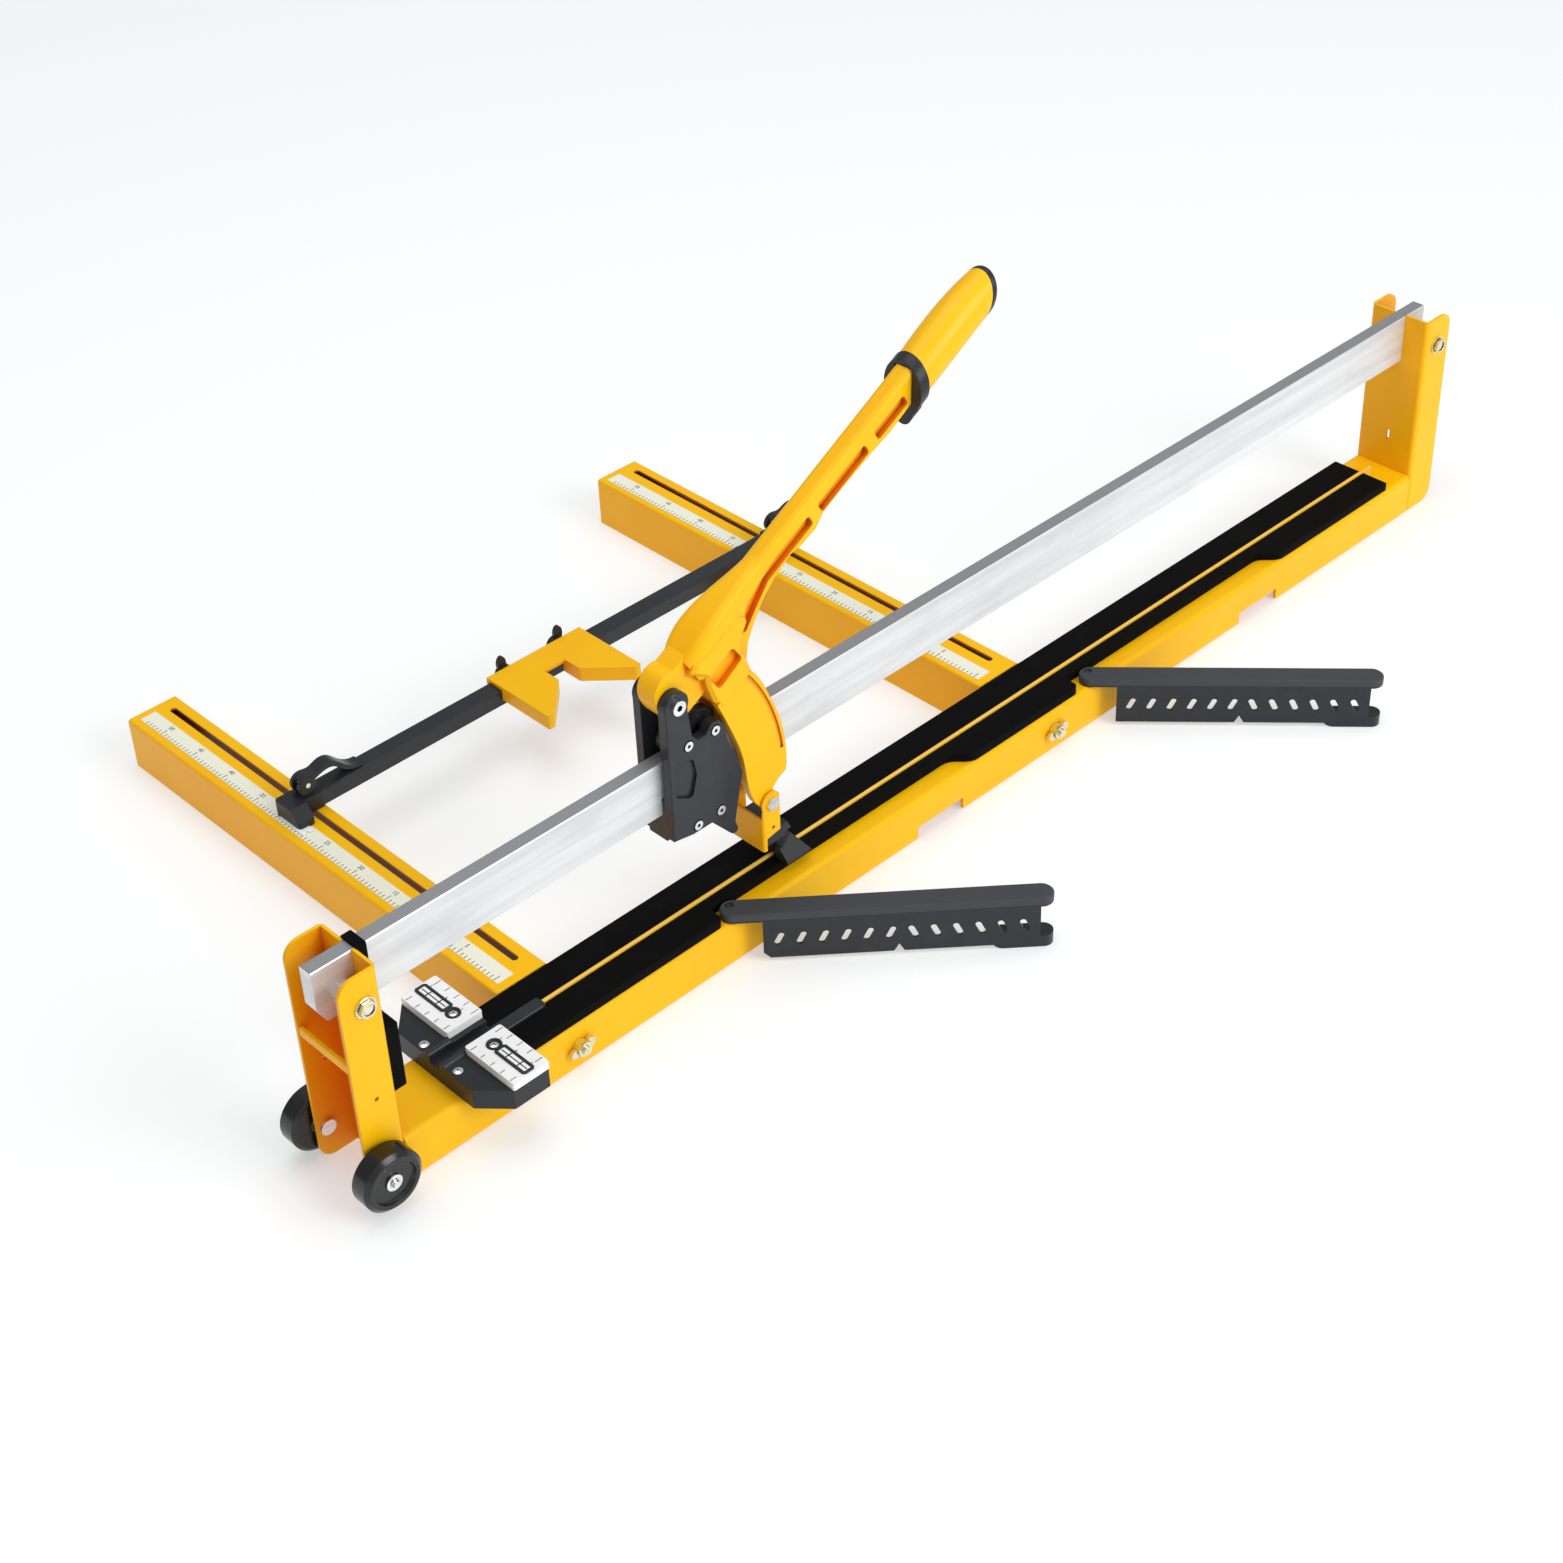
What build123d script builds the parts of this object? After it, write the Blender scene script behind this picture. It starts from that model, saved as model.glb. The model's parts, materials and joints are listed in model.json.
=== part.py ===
from build123d import *
import os
from math import cos, hypot, radians, sin

os.makedirs("parts", exist_ok=True)

# Frame: X along the rail towards the far end, Y across towards the slotted arms, Z up.
# The origin lies on the floor below the middle of the beam, on the cutting line.

# ---- overall sizes, mm
overall_length = 1432
beam_width = 70
beam_top = 45.5
beam_bottom = 2
beam_sheet = 3
beam_fold = 5
near_depth = 38
far_depth = 41
bracket_top = 229
half_length = overall_length / 2
beam_start = -half_length + near_depth
beam_end = half_length - far_depth
half_beam = beam_width / 2
bracket_corner = 15

# ---- small pieces of the base
feet_spots = [-630, 0, 620]
feet_length = 40
feet_height = 14
tie_height = 9
tie_thick = 4
tie_z = 143
spare_hole_z = 103
buffer_depth = 14
buffer_half = 30
buffer_bottom = 94
buffer_top = 160
ring_wall = 3
ring_length = 9

# ---- clearances
running = 0.05
slip = 0.3
air = 1.0

# ---- rail
rail_width = 14.6
rail_height = 52
rail_top = bracket_top - 0.5
rail_bottom = rail_top - rail_height
rail_start = -half_length - 3
rail_end = half_length - 8
half_rail = rail_width / 2
rail_bolt_r = 4
rail_bolt_z = rail_bottom + 21
near_bolt_x = -half_length + 22
far_bolt_x = half_length - 21
rail_bolt_spots = [near_bolt_x, far_bolt_x]
spacer_r = 9.5
flange_r = 9.5
bolt_hex_r = 7.8

# ---- top of the beam
pad_thick = 9
pad_top = beam_top + pad_thick
pad_start = -559
pad_end = 635
pad_wide = 32
pad_narrow = 14.6
rib_width = 3.5
rib_top = pad_top + 2
rib_end = 650
guide_start = -559
guide_end = -507
guide_width = 13
guide_top = pad_top + 2.5

pad_gap = 0.75

# ---- folding arms
arm_pin_y = -23
arm_pin_r = 3
arm_pin_spots = [-316, 159]
arm_rest_angles = [-41.6, -47.5]
arm_reach = 281.5
strip_near = 7.3
strip_far = 15.2
strip_back = 8.5
strip_middle = (strip_near - strip_far) / 2
web_thickness = 2
web_start = 28
web_end = 269
web_bottom = 5
foot_start = 237
roller_r = 7
roller_pin_r = 2

arm_plate = 2
first_slot = 42
slot_pitch = 19.4
slot_height = 26
notch_at = 146
foot_rest = 0.5
foot_width = 18
foot_height = 12

# ---- slotted side arms
side_arm_width = 55
side_arm_end = 593
side_arm_wall = 2.5
slot_width = 6.6
slot_start = 56
slot_end = 578
near_arm_start = -527.5
near_slot_x = -487.8
near_tape_x = -510
far_arm_start = 69
far_slot_x = 109.1
far_tape_x = 84.5
tape_thickness = 0.4
tape_start = 44
tape_end = 585
stud_r = 4
stud_z = 25
stud_spots = [-500, 97]

tape_width = 17.5
stud_reach = 12
hub_r = 7
screw_hub_r = 9
hub_length = 9
nut_wing = 13
screw_wing = 21

# ---- fence and V-stop
fence_front = 347
fence_back = 366
fence_bottom = pad_top + tape_thickness + slip
fence_height = 16.8
fence_top = fence_bottom + fence_height
clamp_head_r = 9.5
clamp_stud_r = 3
clamp_pin_y = (fence_front + fence_back) / 2
v_top = fence_top + 4
v_bottom = fence_bottom + 5.8
v_wall = 3
v_centre = -206
v_half = 58.5
v_front = 277
v_tip = 7
thumb_spots = [-239, -174]
thumb_stud_r = 2.5

thumb_z = fence_bottom + 10.8
block_before = 26
block_after = 12
block_beyond = 30
block_lip = 1.5
block_foot = 331
bar_seat = 4
clamp_pin_r = 2.5
clamp_half = 7.5
cam_offset = 1.5
clamp_eye_r = 5
clamp_pin_z = fence_top + slip + slip + clamp_head_r + cam_offset
pointer_width = 12
pointer_thick = 1.2
v_mouth = 12.7
v_deep = 337

# ---- front stop and rulers
stop_start = -619
stop_end = -560
stop_half = 72.5
stop_top = beam_top + 20
ruler_start = -596
ruler_top = stop_top + 7.3
ruler_inner = 11.2
ruler_outer = 73.5
window_x = -577.5
window_width = 10
window_inner = 33
window_outer = 71
ruler_screw_y = 26.5

window_depth = 2.5
stop_cut = 25
groove_half = 6
groove_lip = 10
stop_screw_x = -612
stop_screw_y = 22
screw_head_r = 4.5

# ---- wheels
axle_x = -half_length + 9
axle_z = 35.5
axle_r = 4
wheel_r = 28
wheel_inner = half_beam + 2
wheel_outer = 59

washer_r = 7.5
hub_dip = 3
dish_r = 19

# ---- carriage
pivot_x = -356.4
pivot_z = 287.4
pivot_r = 4
ear_r = 13
plate_inner = 11
plate_outer = 20.5
bearing_r = 14
bearing_width = 8
bearing_bore = 6
bearing_z = rail_top + bearing_r
bearing_spots = [-347, -317]
lower_screw_spots = [(-342, 157), (-316, 158)]
sleeve_r = 4

carriage_screw_r = 3
seat_r = 5.5
seat_depth = 3
block_x = pivot_x - ear_r + 0.4
block_length = 60
block_height = 26
cheek_height = 16
carriage_screw_spots = [(x, bearing_z) for x in bearing_spots] + lower_screw_spots

# ---- handle, scoring wheel and breaker foot
handle_angle = 28.5
arm_angle = 30
barrel_r = 16
barrel_half = 10.5
arm_half = 10
body_half = 19.5
leg_inner = half_rail + 4
leg_outer = 19
bearing_air = 7
collar_back = 330
collar_back_slant = 0.62
collar_front = 342
collar_front_slant = 0.5
cap_start = 433
cap_length = 10
cap_slant = 1.0
collar_r = 21.5
rail_air = 5
arm_panels = [(204, 269), (282, 323)]
root_panel = [(86, -24), (84, -8), (100, 2), (150, 6), (192, 6), (192, -5), (130, -5), (108, -14)]
panel_depth = 6
window_sink = 6
clevis_x = -260
clevis_z = 134.5
clevis_half = 22.5
clevis_sheet = 2
clevis_depth = 20
clevis_bolt_r = 4
ear_reach = 11
ear_low = 98
web_low = 85
web_high = 124.5
holder_half = 4.5
holder_start = -246.5
holder_end = -232.5
holder_low = pad_top + 6.5
score_r = 6
score_width = 3
score_x = -240
score_z = rib_top + 1.5 + score_r
score_pin_r = 1.5
foot_x0 = -244
foot_x1 = -215
foot_half = 22.5
foot_bottom = pad_top + 0.5
foot_top = foot_bottom + 21
neck_low = 88
neck_high = 102


def upright(x, y=0, z=0):
    """Sketch plane seen from the front: local x along +X, local y up, extruding towards -Y."""
    return Plane(origin=(x, y, z), x_dir=(1, 0, 0), z_dir=(0, -1, 0))


# ================= base =================
beam_length = beam_end - beam_start
notch_height = foot_rest + foot_height + 2 - beam_bottom
notch_before = foot_start - foot_width / 2 - 3

with BuildPart() as base_beam:
    with BuildSketch(Plane.YZ.offset(beam_start)) as beam_outline:
        with Locations((0, beam_bottom)):
            Rectangle(beam_width, beam_top - beam_bottom, align=(Align.CENTER, Align.MIN))
        fillet(beam_outline.vertices().group_by(Axis.Y)[-1], beam_fold)
        with Locations((0, beam_bottom)):
            Rectangle(
                beam_width - 2 * beam_sheet,
                beam_top - beam_bottom - beam_sheet,
                align=(Align.CENTER, Align.MIN),
                mode=Mode.SUBTRACT,
            )
    extrude(amount=beam_length)
    with Locations(*[(x + notch_before, -half_beam, beam_bottom) for x in arm_pin_spots]):
        Box(arm_reach + 4 - notch_before, 3 * beam_sheet, notch_height,
            align=(Align.MIN, Align.CENTER, Align.MIN),
            mode=Mode.SUBTRACT)
    with BuildSketch(Plane.XY.offset(beam_top)):
        with Locations(*[(x, arm_pin_y) for x in arm_pin_spots]):
            Circle(arm_pin_r + 0.1)
    extrude(amount=-2 * beam_sheet, mode=Mode.SUBTRACT)
    with BuildSketch(upright(0, half_beam + 1)):
        with Locations(*[(x, stud_z) for x in stud_spots]):
            Circle(stud_r + 0.1)
    extrude(amount=beam_width + 2, mode=Mode.SUBTRACT)
base_beam.part.label = "base_beam"
export_step(base_beam.part, "parts/base_beam.step")

with BuildPart() as rubber_feet:
    with Locations(*[(x, 0, 0) for x in feet_spots]):
        Box(feet_length, beam_width - 2 * beam_sheet, feet_height,
            align=(Align.CENTER, Align.CENTER, Align.MIN))
    chamfer(rubber_feet.faces().filter_by(Axis.Z).group_by(Axis.Z)[0].edges(), 1)
rubber_feet.part.label = "rubber_feet"
export_step(rubber_feet.part, "parts/rubber_feet.step")

# Both end brackets are folded sheet: a web against the beam and two flanges turned away from it.
with BuildPart() as near_bracket:
    with BuildSketch(Plane.XY.offset(beam_bottom)) as near_plan:
        with Locations((-half_length, 0)):
            Rectangle(near_depth, beam_width, align=(Align.MIN, Align.CENTER))
        fillet(near_plan.vertices().group_by(Axis.X)[-1], beam_fold)
        with Locations((-half_length, 0)):
            Rectangle(near_depth - beam_sheet, beam_width - 2 * beam_sheet, align=(Align.MIN, Align.CENTER),
                      mode=Mode.SUBTRACT)
    extrude(amount=bracket_top - beam_bottom)
    with BuildSketch(upright(-half_length)) as near_side:
        with Locations((0, beam_bottom)):
            Rectangle(near_depth, bracket_top - beam_bottom, align=(Align.MIN, Align.MIN))
        fillet(near_side.vertices().group_by(Axis.X)[0], bracket_corner)
    extrude(amount=half_beam, both=True, mode=Mode.INTERSECT)
    with Locations((beam_start - beam_sheet / 2, 0, rail_bottom)):
        Box(3 * beam_sheet, rail_width, rail_height + 5, align=(Align.CENTER, Align.CENTER, Align.MIN),
            mode=Mode.SUBTRACT)
    with BuildSketch(upright(0)):
        with Locations((near_bolt_x, rail_bolt_z)):
            Circle(rail_bolt_r + 0.1)
        with Locations((axle_x, axle_z)):
            Circle(axle_r)
        with Locations((near_bolt_x - 3, spare_hole_z)):
            Circle(2)
    extrude(amount=half_beam + 1, both=True, mode=Mode.SUBTRACT)
near_bracket.part.label = "near_bracket"
export_step(near_bracket.part, "parts/near_bracket.step")

with BuildPart() as far_bracket:
    with BuildSketch(Plane.XY.offset(beam_bottom)) as far_plan:
        with Locations((beam_end, 0)):
            Rectangle(far_depth, beam_width, align=(Align.MIN, Align.CENTER))
        fillet(far_plan.vertices().group_by(Axis.X)[0], beam_fold)
        with Locations((beam_end + beam_sheet, 0)):
            Rectangle(far_depth - beam_sheet, beam_width - 2 * beam_sheet, align=(Align.MIN, Align.CENTER),
                      mode=Mode.SUBTRACT)
    extrude(amount=bracket_top - beam_bottom)
    with BuildSketch(upright(beam_end)) as far_side:
        with Locations((0, beam_bottom)):
            Rectangle(far_depth, bracket_top - beam_bottom, align=(Align.MIN, Align.MIN))
        fillet(far_side.vertices().group_by(Axis.X)[-1], bracket_corner)
    extrude(amount=half_beam, both=True, mode=Mode.INTERSECT)
    with Locations((beam_end + beam_sheet / 2, 0, rail_bottom)):
        Box(3 * beam_sheet, rail_width, rail_height + 5, align=(Align.CENTER, Align.CENTER, Align.MIN),
            mode=Mode.SUBTRACT)
    with BuildSketch(Plane.YZ.offset(beam_end - 1)):
        with Locations((-1.6, 85)):
            SlotOverall(12, 4, rotation=90)
    extrude(amount=2 * beam_sheet, mode=Mode.SUBTRACT)
    with BuildSketch(upright(0)):
        with Locations((far_bolt_x, rail_bolt_z)):
            Circle(rail_bolt_r + 0.1)
    extrude(amount=half_beam + 1, both=True, mode=Mode.SUBTRACT)
far_bracket.part.label = "far_bracket"
export_step(far_bracket.part, "parts/far_bracket.step")

with BuildPart() as near_tie_bar:
    with BuildSketch(upright(0)):
        with Locations((-half_length + tie_thick / 2 + 0.5, tie_z)):
            RectangleRounded(tie_thick, tie_height, 1)
    extrude(amount=half_beam - beam_sheet, both=True)
near_tie_bar.part.label = "near_tie_bar"
export_step(near_tie_bar.part, "parts/near_tie_bar.step")

with BuildPart() as web_buffer:
    with Locations((beam_start, 0, buffer_bottom)):
        Box(buffer_depth, 2 * buffer_half, buffer_top - buffer_bottom,
            align=(Align.MIN, Align.CENTER, Align.MIN))
    fillet(web_buffer.edges().filter_by(Axis.Z).group_by(Axis.X)[-1], 3)
    chamfer(web_buffer.faces().sort_by(Axis.Z)[-1].edges().sort_by(Axis.X)[-1], 3)
web_buffer.part.label = "web_buffer"
export_step(web_buffer.part, "parts/web_buffer.step")

# ================= rail =================
with BuildPart() as guide_rail:
    with BuildSketch(upright(0)):
        Polygon(
            (rail_start, rail_bottom + 15),
            (rail_start + 8, rail_bottom),
            (rail_end, rail_bottom),
            (rail_end, rail_top),
            (rail_start, rail_top),
            align=None,
        )
        with Locations(*[(x, rail_bolt_z) for x in rail_bolt_spots]):
            Circle(rail_bolt_r, mode=Mode.SUBTRACT)
    extrude(amount=half_rail, both=True)
    chamfer(guide_rail.edges().filter_by(Axis.X).group_by(Axis.Z)[-1], 1)
guide_rail.part.label = "guide_rail"
export_step(guide_rail.part, "parts/guide_rail.step")

# One flanged screw from each side at each end, drawn up against a hexagon spacer and threaded into the rail.
with BuildPart() as rail_bolts:
    for side in (-1, 1):
        face = Plane(origin=(0, side * half_beam, 0), x_dir=(1, 0, 0), z_dir=(0, side, 0))
        for x in rail_bolt_spots:
            with BuildSketch(face):
                with Locations((x, -side * rail_bolt_z)):
                    Circle(rail_bolt_r)
            extrude(amount=-(half_beam - 1.5))
            with BuildSketch(face):
                with Locations((x, -side * rail_bolt_z)):
                    Circle(flange_r)
            extrude(amount=2)
            with BuildSketch(face):
                with Locations((x, -side * rail_bolt_z)):
                    RegularPolygon(bolt_hex_r, 6)
            extrude(amount=6)
            with BuildSketch(face.offset(6)):
                with Locations((x, -side * rail_bolt_z)):
                    Circle(bolt_hex_r - 2.5)
            extrude(amount=-1, mode=Mode.SUBTRACT)
rail_bolts.part.label = "rail_bolts"
export_step(rail_bolts.part, "parts/rail_bolts.step")

with BuildPart() as rail_spacers:
    for side in (-1, 1):
        with BuildSketch(upright(0, side * half_rail)):
            with Locations(*[(x, rail_bolt_z) for x in rail_bolt_spots]):
                RegularPolygon(spacer_r, 6)
                Circle(rail_bolt_r, mode=Mode.SUBTRACT)
        extrude(amount=-side * (half_beam - beam_sheet - half_rail))
rail_spacers.part.label = "rail_spacers"
export_step(rail_spacers.part, "parts/rail_spacers.step")

with BuildPart() as rail_buffer_ring:
    with BuildSketch(Plane.YZ.offset(beam_start)) as ring_outline:
        with Locations((0, (rail_top + rail_bottom) / 2)):
            Rectangle(rail_width + 2 * ring_wall, rail_height + 2 * ring_wall)
        fillet(ring_outline.vertices(), 2)
        with Locations((0, (rail_top + rail_bottom) / 2)):
            Rectangle(rail_width, rail_height, mode=Mode.SUBTRACT)
    extrude(amount=ring_length)
rail_buffer_ring.part.label = "rail_buffer_ring"
export_step(rail_buffer_ring.part, "parts/rail_buffer_ring.step")

# ================= top of the beam =================
with BuildPart() as left_pad:
    with BuildSketch(Plane.XY.offset(beam_top)):
        Polygon(
            (pad_start, guide_width / 2 + slip),
            (guide_end + 2, guide_width / 2 + slip),
            (guide_end + 2, rib_width / 2 + pad_gap),
            (pad_end, rib_width / 2 + pad_gap),
            (pad_end, half_beam),
            (pad_start, half_beam),
            align=None,
        )
    extrude(amount=pad_top - beam_top)
    chamfer(left_pad.edges().filter_by(Axis.X).group_by(Axis.Z)[-1].sort_by(Axis.Y)[-1], 1.5)
left_pad.part.label = "left_pad"
export_step(left_pad.part, "parts/left_pad.step")

# The right pad narrows beside each folded arm, with a soft S where it widens again.
recess_first = [arm_pin_spots[0] - 15.3, arm_pin_spots[1] - 24]
recess_curve = [arm_pin_spots[0] + 278, arm_pin_spots[1] + 267]
with BuildPart() as right_pad:
    with BuildSketch(Plane.XY.offset(beam_top)) as right_plan:
        with BuildLine():
            Polyline(
                (recess_first[0], -pad_wide),
                (pad_start, -pad_wide),
                (pad_start, -guide_width / 2 - slip),
                (guide_end + 2, -guide_width / 2 - slip),
                (guide_end + 2, -rib_width / 2 - pad_gap),
                (pad_end, -rib_width / 2 - pad_gap),
                (pad_end, -pad_wide),
                (recess_curve[1] + 32, -pad_wide),
            )
            Spline((recess_curve[1] + 32, -pad_wide), (recess_curve[1], -pad_narrow),
                   tangents=[(-1, 0), (-1, 0)])
            Polyline(
                (recess_curve[1], -pad_narrow),
                (recess_first[1], -pad_narrow),
                (recess_first[1], -pad_wide),
                (recess_curve[0] + 32, -pad_wide),
            )
            Spline((recess_curve[0] + 32, -pad_wide), (recess_curve[0], -pad_narrow),
                   tangents=[(-1, 0), (-1, 0)])
            Polyline((recess_curve[0], -pad_narrow), (recess_first[0], -pad_narrow),
                     (recess_first[0], -pad_wide))
        make_face()
        for x in recess_first:
            fillet(right_plan.vertices().sort_by_distance((x, -pad_wide, beam_top))[0], 5)
            fillet(right_plan.vertices().sort_by_distance((x, -pad_narrow, beam_top))[0], 5)
    extrude(amount=pad_top - beam_top)
right_pad.part.label = "right_pad"
export_step(right_pad.part, "parts/right_pad.step")

with BuildPart() as breaking_rib:
    with BuildSketch(Plane.YZ.offset(guide_end)) as rib_outline:
        with Locations((0, beam_top)):
            Rectangle(rib_width, rib_top - beam_top, align=(Align.CENTER, Align.MIN))
        fillet(rib_outline.vertices().group_by(Axis.Y)[-1], rib_width / 2 - 0.2)
    extrude(amount=rib_end - guide_end)
breaking_rib.part.label = "breaking_rib"
export_step(breaking_rib.part, "parts/breaking_rib.step")

with BuildPart() as guide_bar:
    with BuildSketch(Plane.XY.offset(beam_top)) as guide_plan:
        with Locations((guide_start, 0)):
            Rectangle(guide_end - guide_start, guide_width, align=(Align.MIN, Align.CENTER))
        fillet(guide_plan.vertices().group_by(Axis.X)[-1], 4)
    extrude(amount=guide_top - beam_top)
    chamfer(guide_bar.faces().sort_by(Axis.Z)[-1].edges(), 0.6)
guide_bar.part.label = "guide_bar"
export_step(guide_bar.part, "parts/guide_bar.step")

# ================= front stop =================
with BuildPart() as front_stop:
    with BuildSketch(Plane.XY.offset(beam_top)) as stop_plan:
        with Locations(((stop_start + stop_end) / 2, 0)):
            Rectangle(stop_end - stop_start, 2 * stop_half)
        chamfer(stop_plan.vertices().group_by(Axis.X)[0], length=stop_cut, length2=stop_cut - 2)
    extrude(amount=stop_top - beam_top)
    with BuildSketch(Plane.XY.offset(beam_top)) as stop_under:
        for side in (-1, 1):
            with Locations(((stop_start + stop_end) / 2 + 6, side * ((half_beam + stop_half) / 2 - 1))):
                Rectangle(stop_end - stop_start - 34, stop_half - half_beam - 11)
    extrude(amount=stop_top - beam_top - 3, mode=Mode.SUBTRACT)
    with BuildSketch(Plane.YZ.offset(stop_start)):
        for side in (-1, 1):
            with Locations((side * groove_lip, stop_top - 1)):
                Circle(groove_lip - groove_half + 0.5)
    extrude(amount=ruler_start - stop_start)
    with Locations(((stop_start + stop_end) / 2, 0, stop_top - 6)):
        Box(stop_end - stop_start + 2, 2 * groove_half, 20, align=(Align.CENTER, Align.CENTER, Align.MIN),
            mode=Mode.SUBTRACT)
    with BuildSketch(Plane.XY.offset(stop_top + 1)):
        with Locations(*[(stop_screw_x, side * stop_screw_y) for side in (-1, 1)]):
            Circle(screw_head_r + 0.3)
    extrude(amount=-4, mode=Mode.SUBTRACT)
front_stop.part.label = "front_stop"
export_step(front_stop.part, "parts/front_stop.step")

with BuildPart() as ruler_plates:
    for side in (-1, 1):
        with BuildSketch(Plane.XY.offset(stop_top)) as ruler_plan:
            with Locations(((ruler_start + stop_end + 1) / 2, side * (ruler_inner + ruler_outer) / 2)):
                Rectangle(stop_end + 1 - ruler_start, ruler_outer - ruler_inner)
            fillet(ruler_plan.vertices(), 2)
        extrude(amount=ruler_top - stop_top)
        with BuildSketch(Plane.XY.offset(ruler_top)):
            with Locations((window_x, side * (window_inner + window_outer) / 2)):
                SlotOverall(window_outer - window_inner, window_width, rotation=90)
            with Locations((window_x, side * ruler_screw_y)):
                Circle(screw_head_r + 0.3)
        extrude(amount=-window_depth, mode=Mode.SUBTRACT)
ruler_plates.part.label = "ruler_plates"
export_step(ruler_plates.part, "parts/ruler_plates.step")

with BuildPart() as ruler_windows:
    for side in (-1, 1):
        with BuildSketch(Plane.XY.offset(ruler_top - window_depth)):
            with Locations((window_x, side * (window_inner + window_outer) / 2)):
                SlotOverall(window_outer - window_inner, window_width, rotation=90)
        extrude(amount=window_depth + 0.5)
        with BuildSketch(Plane.XY.offset(ruler_top + 0.5)):
            with Locations((window_x, side * (window_inner + window_outer) / 2)):
                SlotOverall(window_outer - window_inner - 3, window_width - 3, rotation=90)
        extrude(amount=-2, mode=Mode.SUBTRACT)
ruler_windows.part.label = "ruler_windows"
export_step(ruler_windows.part, "parts/ruler_windows.step")

with BuildPart() as stop_screws:
    screw_seats = [(stop_screw_x, stop_screw_y, stop_top - 3), (stop_screw_x, -stop_screw_y, stop_top - 3)]
    screw_seats += [(window_x, ruler_screw_y, ruler_top - window_depth)]
    screw_seats += [(window_x, -ruler_screw_y, ruler_top - window_depth)]
    for seat in screw_seats:
        with BuildSketch(Plane(origin=seat)):
            Circle(screw_head_r)
        extrude(amount=2.4)
        with BuildSketch(Plane(origin=seat).offset(2.4)):
            Rectangle(screw_head_r * 1.3, 1)
            Rectangle(1, screw_head_r * 1.3)
        extrude(amount=-1.2, mode=Mode.SUBTRACT)
stop_screws.part.label = "stop_screws"
export_step(stop_screws.part, "parts/stop_screws.step")

# ================= slotted side arms =================
with BuildPart() as near_side_arm:
    with Locations((near_arm_start, half_beam, 0)):
        Box(side_arm_width, side_arm_end - half_beam, pad_top, align=(Align.MIN, Align.MIN, Align.MIN))
    fillet(near_side_arm.edges().filter_by(Axis.Y).group_by(Axis.Z)[-1], 3)
    with Locations((near_arm_start + side_arm_wall, half_beam + side_arm_wall, -1)):
        Box(side_arm_width - 2 * side_arm_wall, side_arm_end - half_beam - 2 * side_arm_wall,
            pad_top - side_arm_wall + 1, align=(Align.MIN, Align.MIN, Align.MIN), mode=Mode.SUBTRACT)
    with BuildSketch(Plane.XY.offset(pad_top + 1)):
        with Locations((near_slot_x, (slot_start + slot_end) / 2)):
            SlotOverall(slot_end - slot_start, slot_width, rotation=90)
    extrude(amount=-2 * side_arm_wall, mode=Mode.SUBTRACT)
    with BuildSketch(upright(0, half_beam + 2 * side_arm_wall)):
        with Locations((stud_spots[0], stud_z)):
            Circle(stud_r)
    extrude(amount=3 * side_arm_wall, mode=Mode.SUBTRACT)
near_side_arm.part.label = "near_side_arm"
export_step(near_side_arm.part, "parts/near_side_arm.step")

with BuildPart() as far_side_arm:
    with Locations((far_arm_start, half_beam, 0)):
        Box(side_arm_width, side_arm_end - half_beam, pad_top, align=(Align.MIN, Align.MIN, Align.MIN))
    fillet(far_side_arm.edges().filter_by(Axis.Y).group_by(Axis.Z)[-1], 3)
    with Locations((far_arm_start + side_arm_wall, half_beam + side_arm_wall, -1)):
        Box(side_arm_width - 2 * side_arm_wall, side_arm_end - half_beam - 2 * side_arm_wall,
            pad_top - side_arm_wall + 1, align=(Align.MIN, Align.MIN, Align.MIN), mode=Mode.SUBTRACT)
    with BuildSketch(Plane.XY.offset(pad_top + 1)):
        with Locations((far_slot_x, (slot_start + slot_end) / 2)):
            SlotOverall(slot_end - slot_start, slot_width, rotation=90)
    extrude(amount=-2 * side_arm_wall, mode=Mode.SUBTRACT)
    with BuildSketch(upright(0, half_beam + 2 * side_arm_wall)):
        with Locations((stud_spots[1], stud_z)):
            Circle(stud_r)
    extrude(amount=3 * side_arm_wall, mode=Mode.SUBTRACT)
far_side_arm.part.label = "far_side_arm"
export_step(far_side_arm.part, "parts/far_side_arm.step")

with BuildPart() as scale_tapes:
    with Locations(*[(x, (tape_start + tape_end) / 2, pad_top) for x in (near_tape_x, far_tape_x)]):
        Box(tape_width, tape_end - tape_start, tape_thickness, align=(Align.CENTER, Align.CENTER, Align.MIN))
scale_tapes.part.label = "scale_tapes"
export_step(scale_tapes.part, "parts/scale_tapes.step")

with BuildPart() as arm_studs:
    with BuildSketch(upright(0, half_beam + side_arm_wall)):
        with Locations(*[(x, stud_z) for x in stud_spots]):
            Circle(stud_r)
    extrude(amount=beam_width + side_arm_wall + stud_reach)
    with BuildSketch(upright(0, half_beam + side_arm_wall)):
        with Locations(*[(x, stud_z) for x in stud_spots]):
            Circle(2 * stud_r)
    extrude(amount=-4)
arm_studs.part.label = "arm_studs"
export_step(arm_studs.part, "parts/arm_studs.step")

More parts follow.
